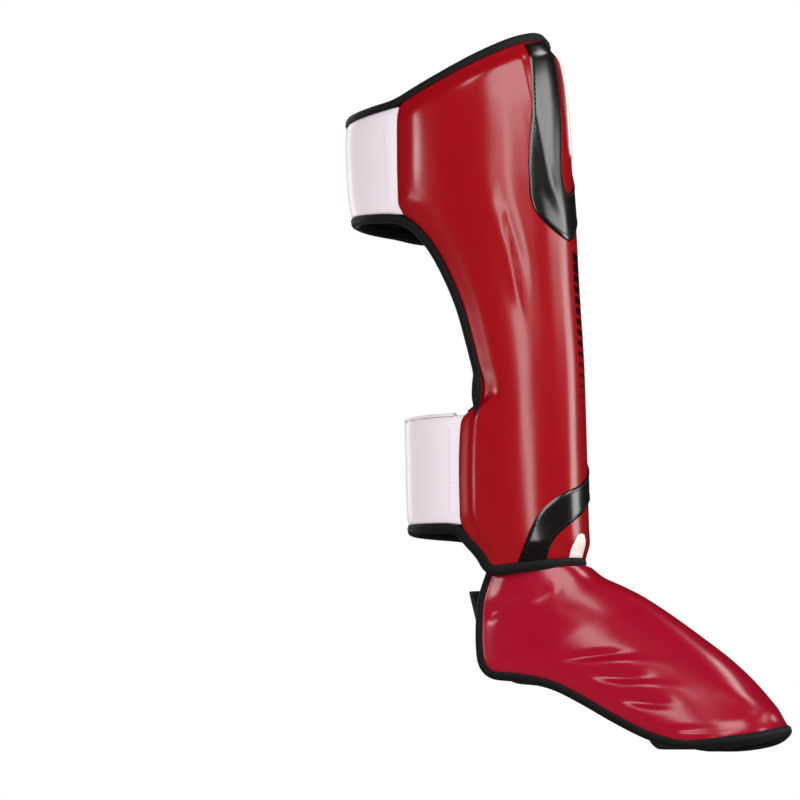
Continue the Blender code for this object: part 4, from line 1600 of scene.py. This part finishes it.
@dataclass
class Guard:
    """All of the guard's sub-assemblies, built in order.

    Each inlay is two edges of points, as distance round and height above the ankle seam in mm.
    """

    upper_band: tuple = (
        (
            (-15, 358.3), (-17, 332), (-19, 300), (-22, 268), (-15, 254), (9, 262),
            (24, 272), (34, 287), (46, 306), (52, 322), (57, 332),
        ),
        (
            (-43, 351.3), (-47, 329), (-51, 300), (-55, 262), (-50, 236), (-20, 221),
            (8, 233), (30, 245), (43, 260), (54, 290), (64, 324),
        ),
    )
    lower_band: tuple = (
        (
            (66, 100), (50, 92), (36, 84), (20, 76), (3, 67),
            (-18, 58), (-38, 51), (-54, 40), (-63, 26), (-71.5, 5.6),
        ),
        (
            (66, 66), (50, 62), (36, 59), (24, 56), (13, 50),
            (-8, 42), (-28, 33), (-41, 25), (-48, 17), (-50, 7.6),
        ),
    )
    top_patch: tuple = (
        ((10, 354), (9, 335), (5, 312), (2, 292), (4, 284), (10, 281)),
        ((46, 346), (39, 335), (31, 312), (21, 292), (17, 284), (11, 281)),
    )
    hem_patch: tuple = (
        ((-6, 9.5), (-6.5, 16), (-9, 21), (-13, 25), (-16, 26)),
        ((-29, 9.5), (-28.5, 16), (-26, 21), (-22, 25), (-17, 26)),
    )

    def bindings(self, shell: ShinShell, lower: WrapStrap, upper: WrapStrap) -> None:
        """Tape round the shell's rims, as far as the straps leave them free.

        Args:
            shell: the shin shell.
            lower: the ankle strap.
            upper: the calf strap.
        """
        low = shell.row_at(lower.bottom - 2 * MM)
        start, stop = shell.row_at(lower.top + 3 * MM), shell.row_at(upper.bottom - 3 * MM)
        corner, strap = shell.row_at(129 * MM), shell.row_at(lower.top + 1 * MM)
        faces = (shell.outer, shell.behind)
        near = tuple(g[corner : stop + 1, 0][::-1] for g in faces)
        ear = tuple(g[strap : corner + 1, 0][::-1] for g in faces)
        far = tuple(g[start : stop + 1, -1] for g in faces)
        rim_top = tuple(g[-1, ::-1] for g in faces)
        rim_ankle = tuple(np.concatenate([g[low:0:-1, 0], g[0], g[1 : low + 1, -1]]) for g in faces)
        # Above the lower ear the rear tape leaves the rim, sinks into the surface and ends
        height = np.linspace(125 * MM, 84 * MM, 20)
        distance = -np.linspace(shell.reach_at(127 * MM), 98 * MM, 20)
        sunk = np.linspace(0.0, 1.1 * MM, 20)
        on_body = tuple(shell.on_skin(distance, height, -sunk - deep) for deep in (0.0, 2.5 * MM))
        runs = (
            ("top_tape", (rim_top, upper.top_edge), ("top_binding", "upper_strap_top_binding")),
            (
                "rear_tape_sewn_side",
                (upper.bottom_edge, near, on_body),
                ("upper_strap_bottom_binding", "rear_binding_sewn_side"),
            ),
            (
                "ankle_tape",
                (lower.bottom_edge, rim_ankle),
                ("lower_strap_bottom_binding", "ankle_binding"),
            ),
            ("rear_tape_closure_side", (far,), ("rear_binding_closure_side",)),
        )
        for name, parts, nodes in runs:
            outer, inner = (np.concatenate([part[k] for part in parts]) for k in (0, 1))
            taper = 30 * MM if parts[-1] is on_body else 0.0
            tape = Binding(width=5.8 * MM, lap=1.0 * MM) if name == "ankle_tape" else Binding()
            tape.build(name, *even_pair(outer, inner, 2.2 * MM), *nodes, taper=taper)
        turned = Binding(width=1.6 * MM, over=0.25 * MM, finish=WHITE_LEATHER, slot="white_leather")
        edge = even_pair(*lower.top_edge, 2.2 * MM)
        turned.build("lower_strap_turned_edge", *edge, "lower_strap_top_binding")
        turned = Binding(width=1.4 * MM, over=0.2 * MM, finish=RED_LEATHER, slot="red_leather")
        turned.build("lower_ear_turned_edge", *even_pair(*ear, 1.5 * MM), taper=12 * MM)

    def build(self) -> None:
        """Builds and dresses every piece."""
        leg = LegForm()
        shell = ShinShell(leg)
        shell.build()
        shell.build_lining()
        upper = WrapStrap(
            "upper_strap", shell, bottom=0.234, top=0.313, bottom_slope=-0.09, top_slope=0.12, lap=0.045
        )
        lower = WrapStrap(
            "lower_strap", shell, bottom=0.031, top=0.103, bottom_slope=-0.04, top_slope=0.0, lap=0.042
        )
        upper.build()
        lower.build()
        self.bindings(shell, lower, upper)
        for name, edges, finish, slot, thread in (
            ("upper_band", self.upper_band, BLACK_LEATHER, "black_gloss_leather", THREAD),
            ("lower_band", self.lower_band, BLACK_LEATHER, "black_gloss_leather", THREAD),
            ("top_patch", self.top_patch, CREAM_LEATHER, "white_leather", WHITE_THREAD),
            ("hem_patch", self.hem_patch, CREAM_LEATHER, "white_leather", WHITE_THREAD),
        ):
            Inlay(name, shell, edges, finish, slot, thread).build()
        flap = InstepFlap()
        flap.build()
        self.elastics(flap)

    def elastics(self, flap: InstepFlap) -> None:
        """The heel strap behind the ankle and the sole strap under the ball of the foot.

        Args:
            flap: the instep flap that holds both.
        """
        walls = flap.edge + flap.lining + 1.0 * MM
        # forward of the axis, to the side
        inside = 0.355 * flap.width - walls - 1.8 * MM
        half = [
            (36.0 * MM, 2.7 * MM - inside),
            (24.0 * MM, 1.7 * MM - inside),
            (14.0 * MM, 4.4 * MM - inside),
            (10.4 * MM, -18 * MM),
        ]
        route = np.array(half + [(9 * MM, 0.0)] + [(x, -y) for x, y in half[::-1]])
        Elastic("heel_strap", route, -33 * MM, -12 * MM, True, lean=6 * MM).build()
        # to the side, height
        inside, hem = 0.49 * flap.width - walls - 2.4 * MM, -0.925 * flap.drop
        half = [
            (5.4 * MM - inside, hem + 8 * MM),
            (5.8 * MM - inside, hem + 3 * MM),
            (12 * MM - inside, hem - 1 * MM),
        ]
        route = np.array(half + [(0.0, hem - 4.5 * MM)] + [(-y, z) for y, z in half[::-1]])
        Elastic("sole_strap", route, 132 * MM, 166 * MM, False).build()


# Studio


@dataclass
class Studio:
    """Pale floor, pale surroundings, soft lights and the camera."""

    azimuth: float = 12.0
    elevation: float = -6.0
    eye: tuple[float, float, float] = (0.4956, -2.5306, -0.3428)
    lens: float = 173.84
    floor_height: float = -0.3460
    soft_light: float = 0.57
    gloss_light: float = 0.01
    light_distance: float = 1.9
    # name, azimuth and width in degrees, lower and upper edge, brightness
    softboxes: tuple[tuple[str, float, float, float, float, float], ...] = (
        ("key_softbox", 50, 44, 0.47, 2.10, 4.0),
        ("side_strip", 44, 11, -0.34, 0.47, 4.6),
        ("front_softbox", 104, 24, 0.38, 0.95, 3.4),
        ("front_strip", 124, 17, -0.25, 0.47, 3.2),
        ("rear_strip", -37, 15, 0.20, 0.44, 9.0),
        ("low_rear_strip", -50, 24, -0.14, 0.0, 5.0),
        ("high_softbox", 4, 15, 1.10, 2.00, 4.5),
        ("toe_softbox", 124, 22, 1.60, 2.20, 4.5),
        ("closure_strip", 194, 12, -0.25, 1.60, 3.0),
        ("back_strip", -130, 20, -0.25, 1.40, 3.0),
    )

    def camera(self) -> None:
        """Places the camera at the picture's viewing angle."""
        a, e = math.radians(self.azimuth), math.radians(self.elevation)
        forward = Vector((-math.sin(a) * math.cos(e), math.cos(a) * math.cos(e), -math.sin(e)))
        data = bpy.data.cameras.new("camera")
        data.lens, data.sensor_width = self.lens, 36.0
        data.clip_start, data.clip_end = 0.05, 60.0
        camera = bpy.data.objects.new("camera", data)
        camera.location = self.eye
        camera.rotation_mode = "QUATERNION"
        camera.rotation_quaternion = forward.to_track_quat("-Z", "Y")
        bpy.context.scene.collection.objects.link(camera)
        bpy.context.scene.camera = camera

    def softbox(
        self, name: str, azimuth: float, wide: float, low: float, high: float, brightness: float
    ) -> None:
        """Adds an upright softbox on a circle round the leg, which faces it.

        Args:
            name: the light's name.
            azimuth: its place round the leg in degrees, 0 at -Y and 90 at +X.
            wide: the angle that it takes up, in degrees.
            low: height of its lower edge.
            high: height of its upper edge.
            brightness: how bright its face is.
        """
        angle, far = math.radians(azimuth), self.light_distance
        data = bpy.data.lights.new(name, "AREA")
        data.shape = "RECTANGLE"
        data.size, data.size_y = 2 * far * math.tan(math.radians(wide) / 2), high - low
        data.energy = brightness * math.pi * data.size * data.size_y
        light = bpy.data.objects.new(name, data)
        light.location = (far * math.sin(angle), -far * math.cos(angle), (low + high) / 2)
        inwards = Vector((-math.sin(angle), math.cos(angle), 0.0))
        light.rotation_mode = "QUATERNION"
        light.rotation_quaternion = inwards.to_track_quat("-Z", "Y")
        bpy.context.scene.collection.objects.link(light)

    def surroundings(self) -> None:
        """White to the eye, an even soft light for matt surfaces, and dim in the leather's gloss."""
        world = bpy.data.worlds.new("studio")
        bpy.context.scene.world = world
        world.use_nodes = True
        tree = world.node_tree
        tree.nodes.clear()
        path = add_node(tree, "ShaderNodeLightPath")
        dim, soft, seen = (
            add_node(tree, "ShaderNodeBackground", inputs={"Color": colour, "Strength": strength}).outputs[0]
            for colour, strength in (
                ((1.0, 0.98, 0.97, 1.0), self.gloss_light),
                ((1.0, 0.985, 0.98, 1.0), self.soft_light),
                ((1.0, 1.0, 1.0, 1.0), 1.0),
            )
        )
        matt = {0: path.outputs["Is Diffuse Ray"], 1: dim, 2: soft}
        lit = add_node(tree, "ShaderNodeMixShader", inputs=matt).outputs[0]
        shown = {0: path.outputs["Is Camera Ray"], 1: lit, 2: seen}
        mix = add_node(tree, "ShaderNodeMixShader", inputs=shown)
        world.cycles.sampling_method = "NONE"
        add_node(tree, "ShaderNodeOutputWorld", inputs={"Surface": mix.outputs[0]})

    def floor(self) -> None:
        """A pale matt floor, left out of the leather's gloss."""
        bpy.ops.object.select_all(action="DESELECT")
        bpy.ops.mesh.primitive_plane_add(size=30.0, location=(0.0, 0.0, self.floor_height))
        floor = bpy.context.active_object
        floor.name = "floor"
        floor.data.materials.append(FLOOR_PAINT.material())
        floor.visible_glossy = False

    def build(self) -> None:
        """Sets up camera, surroundings, floor and lights."""
        bpy.context.scene.view_settings.view_transform = "Standard"
        self.camera()
        self.surroundings()
        self.floor()
        for softbox in self.softboxes:
            self.softbox(*softbox)


def main() -> None:
    """Loads the frame and builds the guard and the studio."""
    logging.basicConfig(level=logging.INFO, format="%(name)s: %(message)s")
    for name in ("Cube", "Light", "Camera"):
        spare = bpy.data.objects.get(name)
        if spare:
            bpy.data.objects.remove(spare, do_unlink=True)
    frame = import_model()
    LOG.info("frame with %d nodes", len(frame["nodes"]))
    Studio().build()
    Guard().build()


if __name__ == "__main__":
    main()
